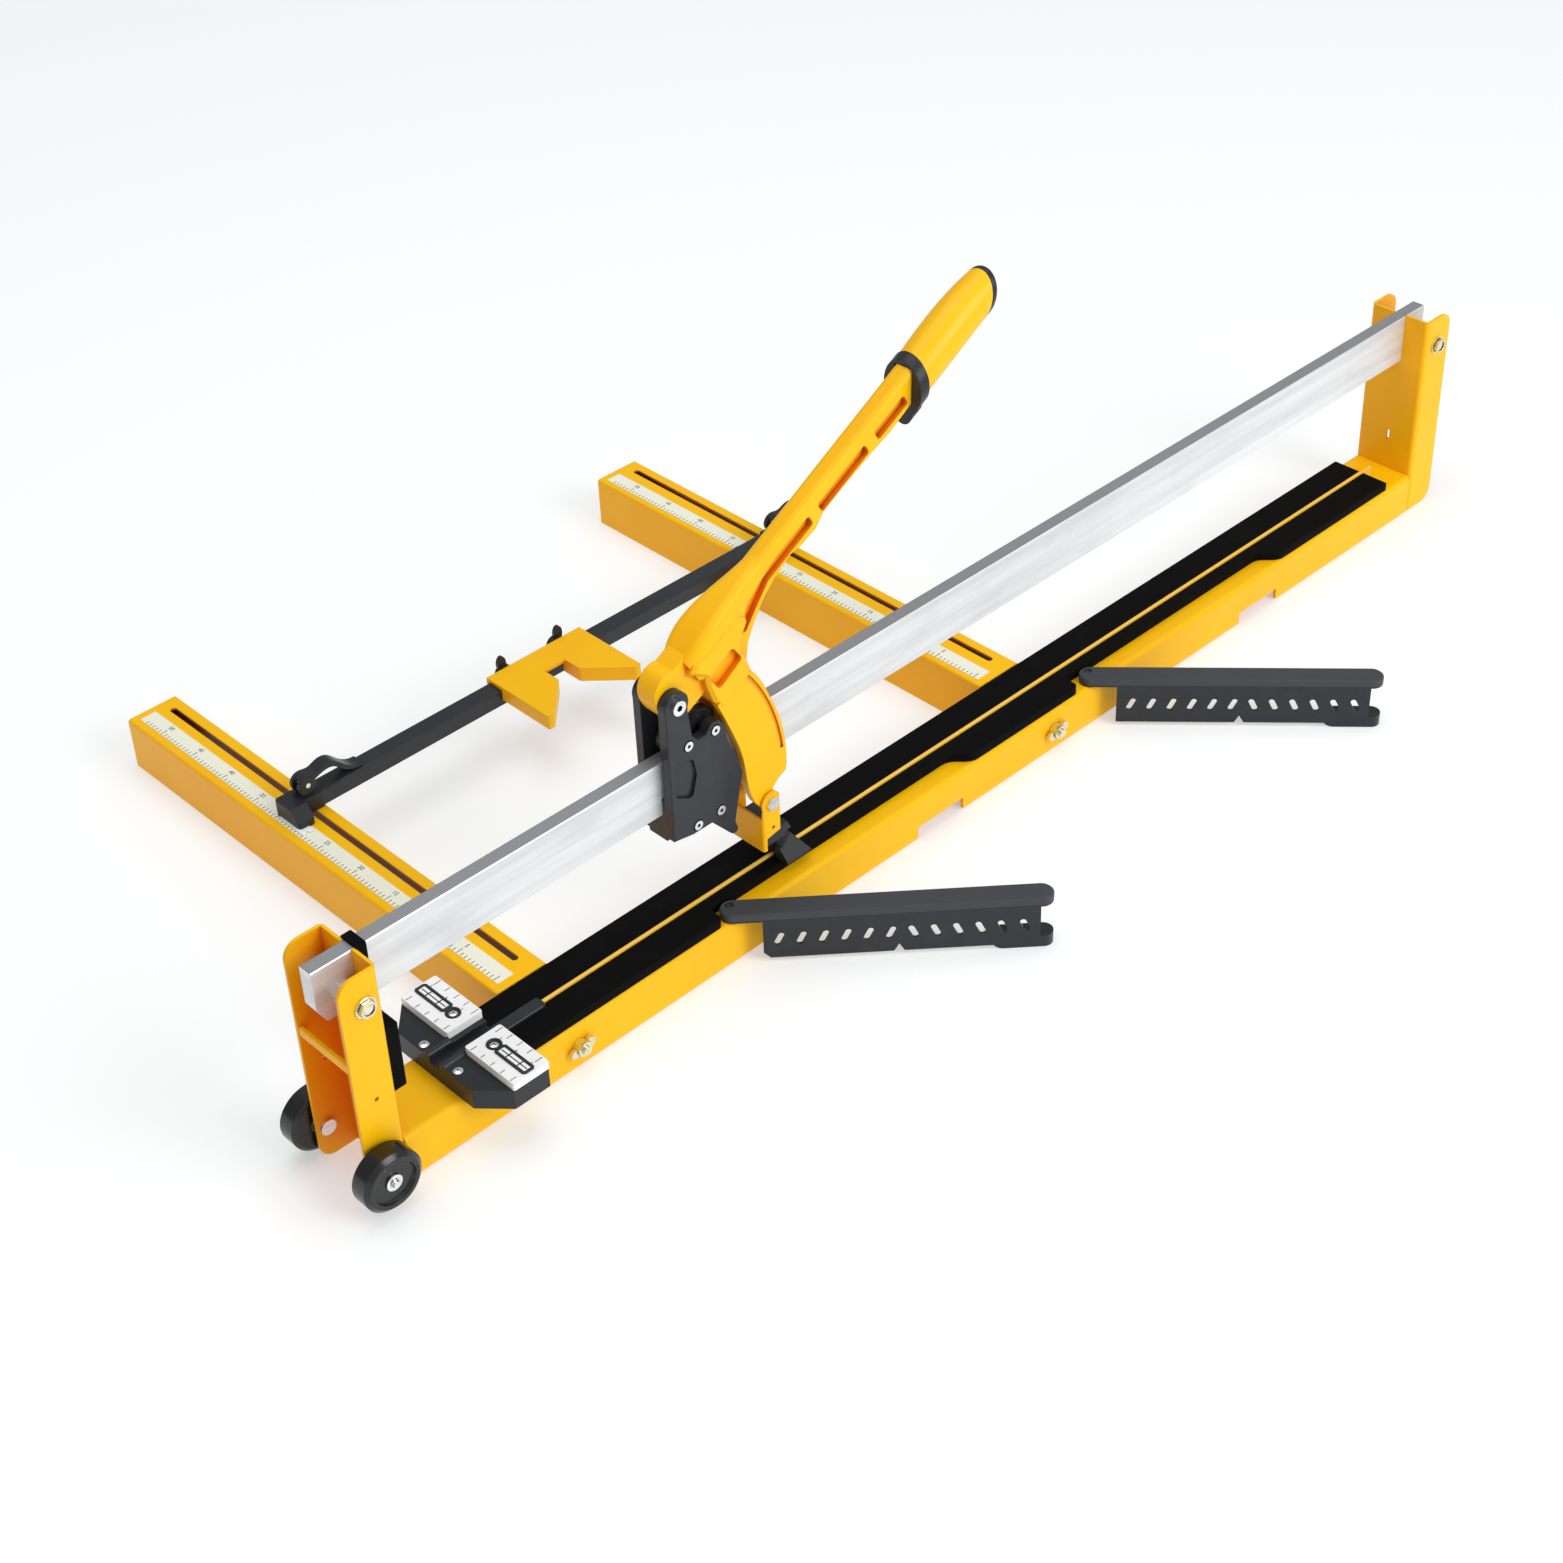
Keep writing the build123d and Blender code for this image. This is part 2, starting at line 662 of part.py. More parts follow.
# The wing nuts and the wing screws of the V-stop share one pair of wings.
with BuildPart() as near_wing_nut:
    with BuildSketch(upright(stud_spots[0], -half_beam - slip, stud_z)):
        Circle(hub_r)
    extrude(amount=hub_length)
    with BuildSketch(upright(stud_spots[0], -half_beam - slip - 3, stud_z)):
        for side in (-1, 1):
            with Locations((side * nut_wing * 0.62, side * 2)):
                Ellipse(nut_wing * 0.4, 4.5)
            with Locations((side * nut_wing * 0.35, side)):
                Rectangle(nut_wing * 0.5, 5)
    extrude(amount=3.5)
    with BuildSketch(upright(stud_spots[0], -half_beam - slip, stud_z)):
        Circle(stud_r + running)
    extrude(amount=hub_length, mode=Mode.SUBTRACT)
near_wing_nut.part.label = "near_wing_nut"
export_step(near_wing_nut.part, "parts/near_wing_nut.step")

with BuildPart() as far_wing_nut:
    with BuildSketch(upright(stud_spots[1], -half_beam - slip, stud_z)):
        Circle(hub_r)
    extrude(amount=hub_length)
    with BuildSketch(upright(stud_spots[1], -half_beam - slip - 3, stud_z)):
        for side in (-1, 1):
            with Locations((side * nut_wing * 0.62, side * 2)):
                Ellipse(nut_wing * 0.4, 4.5)
            with Locations((side * nut_wing * 0.35, side)):
                Rectangle(nut_wing * 0.5, 5)
    extrude(amount=3.5)
    with BuildSketch(upright(stud_spots[1], -half_beam - slip, stud_z)):
        Circle(stud_r + running)
    extrude(amount=hub_length, mode=Mode.SUBTRACT)
far_wing_nut.part.label = "far_wing_nut"
export_step(far_wing_nut.part, "parts/far_wing_nut.step")

# ================= wheels =================
with BuildPart() as wheel_axles:
    for side in (-1, 1):
        face = Plane(origin=(axle_x, side * (half_beam - beam_sheet), axle_z), x_dir=(1, 0, 0),
                     z_dir=(0, side, 0))
        with BuildSketch(face):
            Circle(axle_r)
        extrude(amount=wheel_outer - half_beam + beam_sheet)
        with BuildSketch(face.offset(wheel_outer + 0.5 - half_beam + beam_sheet - hub_dip)):
            Circle(washer_r)
        extrude(amount=1.5)
        with BuildSketch(face.offset(wheel_outer + 2 - half_beam + beam_sheet - hub_dip)):
            Circle(axle_r)
        extrude(amount=3, taper=20)
        with BuildSketch(face):
            Circle(axle_r * 1.8)
        extrude(amount=-4)
wheel_axles.part.label = "wheel_axles"
export_step(wheel_axles.part, "parts/wheel_axles.step")


def wheel_section(side):
    """Half section of a wheel in the YZ plane through its axle."""
    tread = wheel_outer - 3.5
    return [
        (side * wheel_inner, axle_z + axle_r + running),
        (side * (wheel_outer - hub_dip), axle_z + axle_r + running),
        (side * (wheel_outer - hub_dip), axle_z + dish_r),
        (side * wheel_outer, axle_z + dish_r + 1.5),
        (side * wheel_outer, axle_z + wheel_r - 4),
        (side * tread, axle_z + wheel_r),
        (side * (wheel_inner + 3), axle_z + wheel_r),
        (side * (wheel_inner + 1), axle_z + wheel_r - 3),
        (side * (wheel_inner + 1), axle_z + 10),
        (side * wheel_inner, axle_z + 9),
    ]


with BuildPart() as left_wheel:
    with BuildSketch(Plane.YZ.offset(axle_x)):
        Polygon(*wheel_section(1), align=None)
    revolve(axis=Axis((axle_x, 0, axle_z), (0, 1, 0)), revolution_arc=360)
left_wheel.part.label = "left_wheel"
export_step(left_wheel.part, "parts/left_wheel.step")

with BuildPart() as right_wheel:
    with BuildSketch(Plane.YZ.offset(axle_x)):
        Polygon(*wheel_section(-1), align=None)
    revolve(axis=Axis((axle_x, 0, axle_z), (0, 1, 0)), revolution_arc=360)
right_wheel.part.label = "right_wheel"
export_step(right_wheel.part, "parts/right_wheel.step")

# ================= folding arms =================
with BuildPart() as arm_hinge_pins:
    with BuildSketch(Plane.XY.offset(beam_top - 2 * beam_sheet)):
        with Locations(*[(x, arm_pin_y) for x in arm_pin_spots]):
            Circle(arm_pin_r * 2)
    extrude(amount=beam_sheet)
    with BuildSketch(Plane.XY.offset(beam_top - beam_sheet)):
        with Locations(*[(x, arm_pin_y) for x in arm_pin_spots]):
            Circle(arm_pin_r)
    extrude(amount=pad_top - 1 - beam_top + beam_sheet)
arm_hinge_pins.part.label = "arm_hinge_pins"
export_step(arm_hinge_pins.part, "parts/arm_hinge_pins.step")

arm_floor = beam_top + slip


def arm_frame(spot, z=0):
    """Plane at an arm's hinge pin, local x along the arm as it stands."""
    angle = radians(arm_rest_angles[spot])
    return Plane(origin=(arm_pin_spots[spot], arm_pin_y, z), x_dir=(cos(angle), sin(angle), 0),
                 z_dir=(0, 0, 1))


def web_frame(spot):
    """Plane on the outer face of an arm's web, local x along the arm, local y up."""
    flat = arm_frame(spot)
    angle = radians(arm_rest_angles[spot])
    start = flat.from_local_coords(Vector(0, -strip_far, 0))
    return Plane(origin=start, x_dir=(cos(angle), sin(angle), 0), z_dir=(sin(angle), -cos(angle), 0))


slot_leans = [25] * 6 + [-25] * 6
with BuildPart() as near_fold_arm:
    with BuildSketch(arm_frame(0, arm_floor)) as near_arm_plan:
        with Locations((arm_reach / 2 - strip_back / 2, strip_middle)):
            SlotOverall(arm_reach + strip_back, strip_near + strip_far)
        Circle(arm_pin_r + running, mode=Mode.SUBTRACT)
    extrude(amount=arm_plate)
    with BuildSketch(web_frame(0)) as near_web:
        with Locations((web_start, web_bottom)):
            Rectangle(web_end - web_start, arm_floor + arm_plate - web_bottom, align=(Align.MIN, Align.MIN))
        chamfer(near_web.vertices().group_by(Axis.Z)[0].sort_by_distance(arm_frame(0).origin)[0], 6)
        for order, lean in enumerate(slot_leans):
            with Locations((first_slot + order * slot_pitch, slot_height)):
                SlotOverall(14, 5.5, rotation=90 - lean, mode=Mode.SUBTRACT)
        with Locations((notch_at, web_bottom)):
            RegularPolygon(8, 3, rotation=90, mode=Mode.SUBTRACT)
    extrude(amount=-web_thickness)
    with BuildSketch(arm_frame(0, foot_rest)):
        with Locations((foot_start, -strip_far)):
            Rectangle(arm_reach - 9 - foot_start, foot_width, align=(Align.MIN, Align.MIN))
        with Locations((arm_reach - 9, -strip_far + foot_width / 2)):
            Circle(foot_width / 2)
        with Locations((foot_start, -strip_far + foot_width / 2)):
            Circle(foot_width / 2)
    extrude(amount=foot_height)
near_fold_arm.part.label = "near_fold_arm"
export_step(near_fold_arm.part, "parts/near_fold_arm.step")

with BuildPart() as near_fold_strip:
    with BuildSketch(arm_frame(0, arm_floor + arm_plate)):
        with Locations((arm_reach / 2 - strip_back / 2, strip_middle)):
            SlotOverall(arm_reach + strip_back, strip_near + strip_far)
        Circle(arm_pin_r + 1, mode=Mode.SUBTRACT)
    extrude(amount=pad_top - arm_floor - arm_plate)
    chamfer(near_fold_strip.faces().sort_by(Axis.Z)[-1].outer_wire().edges(), 1.2)
near_fold_strip.part.label = "near_fold_strip"
export_step(near_fold_strip.part, "parts/near_fold_strip.step")

with BuildPart() as far_fold_arm:
    with BuildSketch(arm_frame(1, arm_floor)) as far_arm_plan:
        with Locations((arm_reach / 2 - strip_back / 2, strip_middle)):
            SlotOverall(arm_reach + strip_back, strip_near + strip_far)
        Circle(arm_pin_r + running, mode=Mode.SUBTRACT)
    extrude(amount=arm_plate)
    with BuildSketch(web_frame(1)) as far_web:
        with Locations((web_start, web_bottom)):
            Rectangle(web_end - web_start, arm_floor + arm_plate - web_bottom, align=(Align.MIN, Align.MIN))
        chamfer(far_web.vertices().group_by(Axis.Z)[0].sort_by_distance(arm_frame(1).origin)[0], 6)
        for order, lean in enumerate(slot_leans):
            with Locations((first_slot + order * slot_pitch, slot_height)):
                SlotOverall(14, 5.5, rotation=90 - lean, mode=Mode.SUBTRACT)
        with Locations((notch_at, web_bottom)):
            RegularPolygon(8, 3, rotation=90, mode=Mode.SUBTRACT)
    extrude(amount=-web_thickness)
    with BuildSketch(arm_frame(1, foot_rest)):
        with Locations((foot_start, -strip_far)):
            Rectangle(arm_reach - 9 - foot_start, foot_width, align=(Align.MIN, Align.MIN))
        with Locations((arm_reach - 9, -strip_far + foot_width / 2)):
            Circle(foot_width / 2)
        with Locations((foot_start, -strip_far + foot_width / 2)):
            Circle(foot_width / 2)
    extrude(amount=foot_height)
far_fold_arm.part.label = "far_fold_arm"
export_step(far_fold_arm.part, "parts/far_fold_arm.step")

with BuildPart() as far_fold_strip:
    with BuildSketch(arm_frame(1, arm_floor + arm_plate)):
        with Locations((arm_reach / 2 - strip_back / 2, strip_middle)):
            SlotOverall(arm_reach + strip_back, strip_near + strip_far)
        Circle(arm_pin_r + 1, mode=Mode.SUBTRACT)
    extrude(amount=pad_top - arm_floor - arm_plate)
    chamfer(far_fold_strip.faces().sort_by(Axis.Z)[-1].outer_wire().edges(), 1.2)
far_fold_strip.part.label = "far_fold_strip"
export_step(far_fold_strip.part, "parts/far_fold_strip.step")

# ================= fence =================
block_front = fence_front - block_lip
block_back = fence_back + block_lip
near_block_x = near_slot_x - block_before
far_block_x = far_slot_x - block_after
bar_start = near_slot_x + block_after - bar_seat
bar_end = far_block_x + bar_seat

with BuildPart() as fence_bar:
    with BuildSketch(Plane.YZ.offset(bar_start)) as bar_section:
        with Locations(((fence_front + fence_back) / 2, fence_bottom)):
            Rectangle(fence_back - fence_front, fence_top - fence_bottom, align=(Align.CENTER, Align.MIN))
        fillet(bar_section.vertices().group_by(Axis.Y)[-1], 2)
    extrude(amount=bar_end - bar_start)
fence_bar.part.label = "fence_bar"
export_step(fence_bar.part, "parts/fence_bar.step")

# Each clamp block holds one end of the bar, with a foot that carries the scale pointer.
with BuildPart() as near_clamp_block:
    with BuildSketch(Plane.XY.offset(fence_bottom)) as near_block_plan:
        with Locations((near_block_x, block_front)):
            Rectangle(block_before + block_after, block_back - block_front, align=(Align.MIN, Align.MIN))
        with Locations((near_block_x, block_foot)):
            Rectangle(18, block_front - block_foot + 5, align=(Align.MIN, Align.MIN))
        fillet(near_block_plan.vertices().group_by(Axis.Y)[0], 4)
    extrude(amount=fence_top + slip - fence_bottom)
    with BuildSketch(Plane.YZ.offset(near_block_x - 1)):
        Polygon((block_foot - 1, fence_bottom + 6), (block_front - 2, fence_top + 1),
                (block_foot - 1, fence_top + 1),
                align=None)
    extrude(amount=20, mode=Mode.SUBTRACT)
    chamfer(near_clamp_block.edges().filter_by(Axis.Z).group_by(Axis.X)[0], 2)
    with BuildSketch(Plane.YZ.offset(bar_start)):
        with Locations(((fence_front + fence_back) / 2, fence_bottom)):
            Rectangle(fence_back - fence_front, fence_top - fence_bottom, align=(Align.CENTER, Align.MIN))
    extrude(amount=bar_seat + 1, mode=Mode.SUBTRACT)
    with Locations((near_tape_x, block_foot - 8, fence_bottom)):
        Box(pointer_width, 38, pointer_thick, align=(Align.CENTER, Align.MIN, Align.MIN), mode=Mode.SUBTRACT)
    with BuildSketch(Plane.XY.offset(fence_bottom)):
        with Locations((near_slot_x, clamp_pin_y)):
            Circle(clamp_stud_r)
    extrude(amount=fence_top, mode=Mode.SUBTRACT)
near_clamp_block.part.label = "near_clamp_block"
export_step(near_clamp_block.part, "parts/near_clamp_block.step")

with BuildPart() as far_clamp_block:
    with BuildSketch(Plane.XY.offset(fence_bottom)) as far_block_plan:
        with Locations((far_block_x, block_front)):
            Rectangle(block_after + block_beyond, block_back - block_front, align=(Align.MIN, Align.MIN))
        with Locations((far_tape_x - 6, block_foot)):
            Rectangle(24, block_front - block_foot + 5, align=(Align.MIN, Align.MIN))
        fillet(far_block_plan.vertices().group_by(Axis.Y)[0], 4)
    extrude(amount=fence_top + slip - fence_bottom)
    with BuildSketch(Plane.YZ.offset(far_tape_x - 7)):
        Polygon((block_foot - 1, fence_bottom + 6), (block_front - 2, fence_top + 1),
                (block_foot - 1, fence_top + 1),
                align=None)
    extrude(amount=26, mode=Mode.SUBTRACT)
    chamfer(far_clamp_block.edges().filter_by(Axis.Z).group_by(Axis.X)[-1], 2)
    with BuildSketch(Plane.YZ.offset(bar_end)):
        with Locations(((fence_front + fence_back) / 2, fence_bottom)):
            Rectangle(fence_back - fence_front, fence_top - fence_bottom, align=(Align.CENTER, Align.MIN))
    extrude(amount=-bar_seat - 20, mode=Mode.SUBTRACT)
    with Locations((far_tape_x, block_foot - 8, fence_bottom)):
        Box(pointer_width, fence_front - block_foot + 8, pointer_thick,
            align=(Align.CENTER, Align.MIN, Align.MIN), mode=Mode.SUBTRACT)
    with BuildSketch(Plane.XY.offset(fence_bottom)):
        with Locations((far_slot_x, clamp_pin_y)):
            Circle(clamp_stud_r)
    extrude(amount=fence_top, mode=Mode.SUBTRACT)
far_clamp_block.part.label = "far_clamp_block"
export_step(far_clamp_block.part, "parts/far_clamp_block.step")

# A clamp stud: square head below the arm's top sheet, shank through the slot, eye and pin for the lever.
eye_half = 3.5
with BuildPart() as clamp_studs:
    for x in (near_slot_x, far_slot_x):
        with Locations((x, clamp_pin_y, pad_top - side_arm_wall - slip)):
            Box(12, 16, 4, align=(Align.CENTER, Align.CENTER, Align.MAX))
        with BuildSketch(Plane(origin=(x, clamp_pin_y, pad_top - side_arm_wall - slip))):
            Circle(clamp_stud_r)
        extrude(amount=clamp_pin_z - pad_top + side_arm_wall + slip)
        with BuildSketch(upright(x, clamp_pin_y, clamp_pin_z)):
            Circle(clamp_eye_r)
        extrude(amount=eye_half, both=True)
        with BuildSketch(upright(x, clamp_pin_y, clamp_pin_z)):
            Circle(clamp_pin_r)
        extrude(amount=clamp_half + 1, both=True)
clamp_studs.part.label = "clamp_studs"
export_step(clamp_studs.part, "parts/clamp_studs.step")

with BuildPart() as scale_pointers:
    with Locations((near_tape_x, block_foot - 8, fence_bottom)):
        Box(pointer_width, 38, pointer_thick, align=(Align.CENTER, Align.MIN, Align.MIN))
    with Locations((far_tape_x, block_foot - 8, fence_bottom)):
        Box(pointer_width, fence_front - block_foot + 8, pointer_thick,
            align=(Align.CENTER, Align.MIN, Align.MIN))
    with BuildSketch(Plane.XY.offset(fence_bottom - 1)):
        for x in (near_tape_x, far_tape_x):
            with Locations((x, block_foot - 8)):
                RegularPolygon(3.5, 3, rotation=90)
    extrude(amount=4, mode=Mode.SUBTRACT)
scale_pointers.part.label = "scale_pointers"
export_step(scale_pointers.part, "parts/scale_pointers.step")


# cam lever blade, from its head to the tip over the bar and back underneath
blade_top = [(-6, 6.5), (2, 8.6), (10, 7.4), (20, 10.8), (30, 10.5), (41, 1.5), (50, -5.5), (61, -8)]
blade_under = [(61, -10.6), (49, -9.2), (39, -3), (29, 5), (20, 5.6), (9, 2.2), (-6, 2)]

with BuildPart() as near_cam_lever:
    with BuildSketch(upright(near_slot_x, clamp_pin_y, clamp_pin_z)):
        with Locations((0, -cam_offset)):
            Circle(clamp_head_r)
    extrude(amount=clamp_half, both=True)
    with BuildSketch(upright(near_slot_x, clamp_pin_y, clamp_pin_z)):
        with BuildLine():
            Spline(*blade_top)
            Line(blade_top[-1], blade_under[0])
            Spline(*blade_under)
            Line(blade_under[-1], blade_top[0])
        make_face()
    extrude(amount=clamp_half - 0.5, both=True)
    with Locations((near_slot_x - 3, clamp_pin_y, clamp_pin_z + clamp_eye_r + 1)):
        Box(2 * clamp_head_r, 2 * eye_half + 2 * slip, 2 * clamp_head_r,
            align=(Align.CENTER, Align.CENTER, Align.MAX), mode=Mode.SUBTRACT)
    with BuildSketch(upright(near_slot_x, clamp_pin_y, clamp_pin_z)):
        Circle(clamp_pin_r + running)
    extrude(amount=clamp_half + 2, both=True, mode=Mode.SUBTRACT)
near_cam_lever.part.label = "near_cam_lever"
export_step(near_cam_lever.part, "parts/near_cam_lever.step")

with BuildPart() as far_cam_lever:
    with BuildSketch(upright(far_slot_x, clamp_pin_y, clamp_pin_z)):
        with Locations((0, -cam_offset)):
            Circle(clamp_head_r)
    extrude(amount=clamp_half, both=True)
    with BuildSketch(upright(far_slot_x, clamp_pin_y, clamp_pin_z)):
        with BuildLine():
            Spline(*blade_top)
            Line(blade_top[-1], blade_under[0])
            Spline(*blade_under)
            Line(blade_under[-1], blade_top[0])
        make_face()
    extrude(amount=clamp_half - 0.5, both=True)
    with Locations((far_slot_x - 3, clamp_pin_y, clamp_pin_z + clamp_eye_r + 1)):
        Box(2 * clamp_head_r, 2 * eye_half + 2 * slip, 2 * clamp_head_r,
            align=(Align.CENTER, Align.CENTER, Align.MAX), mode=Mode.SUBTRACT)
    with BuildSketch(upright(far_slot_x, clamp_pin_y, clamp_pin_z)):
        Circle(clamp_pin_r + running)
    extrude(amount=clamp_half + 2, both=True, mode=Mode.SUBTRACT)
far_cam_lever.part.label = "far_cam_lever"
export_step(far_cam_lever.part, "parts/far_cam_lever.step")

# ================= V-stop =================
with BuildPart() as v_stop:
    with BuildSketch(Plane.XY.offset(v_bottom)) as v_plan:
        with Locations((v_centre, v_front)):
            Rectangle(2 * v_half, fence_back + slip + v_wall - v_front, align=(Align.CENTER, Align.MIN))
        knee = v_front + v_half - v_tip - v_mouth
        Polygon(
            (v_centre - v_half + v_tip, v_front),
            (v_centre - v_mouth, knee),
            (v_centre - v_mouth, v_deep),
            (v_centre + v_mouth, v_deep),
            (v_centre + v_mouth, knee),
            (v_centre + v_half - v_tip, v_front),
            align=None,
            mode=Mode.SUBTRACT,
        )
        fillet([corner for corner in v_plan.vertices() if corner.Y < v_front + 0.1], 2.5)
        fillet([corner for corner in v_plan.vertices() if abs(corner.Y - knee) < 0.1], 6)
    extrude(amount=v_top - v_bottom)
    offset(amount=-v_wall, openings=v_stop.faces().sort_by(Axis.Z)[0])
    # the deep end of the notch has no wall, so a tile's corner can reach the bar
    with Locations((v_centre, v_deep - 1, v_bottom - 1)):
        Box(2 * v_mouth, 12, v_top - v_wall - v_bottom + 1, align=(Align.CENTER, Align.MIN, Align.MIN),
            mode=Mode.SUBTRACT)
    with Locations((v_centre, (fence_front + fence_back) / 2, v_bottom)):
        Box(2 * v_half + 2, fence_back - fence_front + 2 * slip, fence_top + slip - v_bottom,
            align=(Align.CENTER, Align.CENTER, Align.MIN), mode=Mode.SUBTRACT)
    with BuildSketch(upright(0, fence_back + v_wall + 2)):
        with Locations(*[(x, thumb_z) for x in thumb_spots]):
            Circle(thumb_stud_r + running)
    extrude(amount=v_wall + 4, mode=Mode.SUBTRACT)
v_stop.part.label = "v_stop"
export_step(v_stop.part, "parts/v_stop.step")

with BuildPart() as near_wing_screw:
    with BuildSketch(upright(thumb_spots[0], fence_back + slip + v_wall + slip, thumb_z)):
        Circle(screw_hub_r)
    extrude(amount=-hub_length)
    with BuildSketch(upright(thumb_spots[0], fence_back + slip + v_wall + slip, thumb_z)):
        Circle(thumb_stud_r)
    extrude(amount=v_wall + slip + 0.1)
    with BuildSketch(upright(thumb_spots[0], fence_back + slip + v_wall + 3.5, thumb_z)):
        for side in (-1, 1):
            with Locations((-side * 3, side * screw_wing * 0.6)):
                Ellipse(5, screw_wing * 0.4)
            with Locations((-side * 1.5, side * screw_wing * 0.35)):
                Rectangle(6, screw_wing * 0.4)
    extrude(amount=-3.5)
near_wing_screw.part.label = "near_wing_screw"
export_step(near_wing_screw.part, "parts/near_wing_screw.step")

with BuildPart() as far_wing_screw:
    with BuildSketch(upright(thumb_spots[1], fence_back + slip + v_wall + slip, thumb_z)):
        Circle(screw_hub_r)
    extrude(amount=-hub_length)
    with BuildSketch(upright(thumb_spots[1], fence_back + slip + v_wall + slip, thumb_z)):
        Circle(thumb_stud_r)
    extrude(amount=v_wall + slip + 0.1)
    with BuildSketch(upright(thumb_spots[1], fence_back + slip + v_wall + 3.5, thumb_z)):
        for side in (-1, 1):
            with Locations((side * 3, side * screw_wing * 0.6)):
                Ellipse(5, screw_wing * 0.4)
            with Locations((side * 1.5, side * screw_wing * 0.35)):
                Rectangle(6, screw_wing * 0.4)
    extrude(amount=-3.5)
far_wing_screw.part.label = "far_wing_screw"
export_step(far_wing_screw.part, "parts/far_wing_screw.step")

# ================= carriage =================
plate_width = plate_outer - plate_inner


def plate_outline():
    """Side outline of a carriage plate without its ear."""
    left = pivot_x - ear_r + 0.4
    return [
        (left, pivot_z),
        (left, 154),
        (-348, 150),
        (-326, 150),
        (-307, 128),
        (-293, 114),
        (-300, 137),
        (-296, 155),
        (-289, 183),
        (-296, 207),
        (-304, 226),
        (-307, 244),
        (-313, 251),
        (-321, 251),
        (-328, 243),
        (-336, 243),
        (-342, 250),
        (-345, 278),
        (pivot_x + ear_r - 0.4, pivot_z),
    ]


def plate_pocket():
    """Sunk panel on the outer face of a carriage plate."""
    return [(-364, 233), (-343, 227), (-340, 210), (-346, 188), (-364, 198)]


with BuildPart() as right_carriage_plate:
    with BuildSketch(upright(0, -plate_inner)) as right_plate_plan:
        Polygon(*plate_outline(), align=None)
        for corner in [(-348, 150), (-293, 114), (-300, 137), (-289, 183), (-307, 244), (-313, 251),
                       (-321, 251)]:
            fillet(right_plate_plan.vertices().sort_by_distance((corner[0], -plate_inner, corner[1]))[0], 4)
        with Locations((pivot_x, pivot_z)):
            Circle(ear_r)
    extrude(amount=plate_width)
    chamfer(right_carriage_plate.faces().sort_by(Axis.Y)[0].edges(), 0.8)
    with BuildSketch(upright(0, -plate_outer)) as right_pocket_plan:
        Polygon(*plate_pocket(), align=None)
        fillet(right_pocket_plan.vertices(), 4)
    extrude(amount=-2.5, mode=Mode.SUBTRACT)
    with BuildSketch(upright(0, -plate_outer)):
        with Locations(*carriage_screw_spots):
            Circle(seat_r)
    extrude(amount=-seat_depth, mode=Mode.SUBTRACT)
    with BuildSketch(upright(0, -plate_inner)):
        with Locations(*carriage_screw_spots):
            Circle(carriage_screw_r)
        with Locations((pivot_x, pivot_z)):
            Circle(pivot_r)
    extrude(amount=plate_width, mode=Mode.SUBTRACT)
right_carriage_plate.part.label = "right_carriage_plate"
export_step(right_carriage_plate.part, "parts/right_carriage_plate.step")

with BuildPart() as left_carriage_plate:
    with BuildSketch(upright(0, plate_inner)) as left_plate_plan:
        Polygon(*plate_outline(), align=None)
        for corner in [(-348, 150), (-293, 114), (-300, 137), (-289, 183), (-307, 244), (-313, 251),
                       (-321, 251)]:
            fillet(left_plate_plan.vertices().sort_by_distance((corner[0], plate_inner, corner[1]))[0], 4)
        with Locations((pivot_x, pivot_z)):
            Circle(ear_r)
    extrude(amount=-plate_width)
    chamfer(left_carriage_plate.faces().sort_by(Axis.Y)[-1].edges(), 0.8)
    with BuildSketch(upright(0, plate_outer)) as left_pocket_plan:
        Polygon(*plate_pocket(), align=None)
        fillet(left_pocket_plan.vertices(), 4)
    extrude(amount=2.5, mode=Mode.SUBTRACT)
    with BuildSketch(upright(0, plate_outer)):
        with Locations(*carriage_screw_spots):
            Circle(seat_r)
    extrude(amount=seat_depth, mode=Mode.SUBTRACT)
    with BuildSketch(upright(0, plate_inner)):
        with Locations(*carriage_screw_spots):
            Circle(carriage_screw_r)
        with Locations((pivot_x, pivot_z)):
            Circle(pivot_r)
    extrude(amount=-plate_width, mode=Mode.SUBTRACT)
left_carriage_plate.part.label = "left_carriage_plate"
export_step(left_carriage_plate.part, "parts/left_carriage_plate.step")

# Through screws: button heads sunk in the right plate, nuts sunk in the left one.
with BuildPart() as carriage_screws:
    for x, z in carriage_screw_spots:
        with BuildSketch(upright(x, plate_outer - seat_depth, z)):
            Circle(carriage_screw_r)
        extrude(amount=2 * (plate_outer - seat_depth))
        with BuildSketch(upright(x, -plate_outer + seat_depth, z)):
            Circle(screw_head_r)
        extrude(amount=seat_depth + 0.8)
        with BuildSketch(upright(x, -plate_outer - 0.8, z)):
            RegularPolygon(1.8, 6)
        extrude(amount=-1.5, mode=Mode.SUBTRACT)
        with BuildSketch(upright(x, plate_outer - seat_depth, z)):
            RegularPolygon(screw_head_r, 6)
        extrude(amount=-seat_depth - 0.8)
carriage_screws.part.label = "carriage_screws"
export_step(carriage_screws.part, "parts/carriage_screws.step")

with BuildPart() as bearing_sleeves:
    for x, z in [(x, bearing_z) for x in bearing_spots]:
        with BuildSketch(upright(x, plate_inner, z)):
            Circle(bearing_bore)
            Circle(carriage_screw_r, mode=Mode.SUBTRACT)
        extrude(amount=2 * plate_inner)
bearing_sleeves.part.label = "bearing_sleeves"
export_step(bearing_sleeves.part, "parts/bearing_sleeves.step")

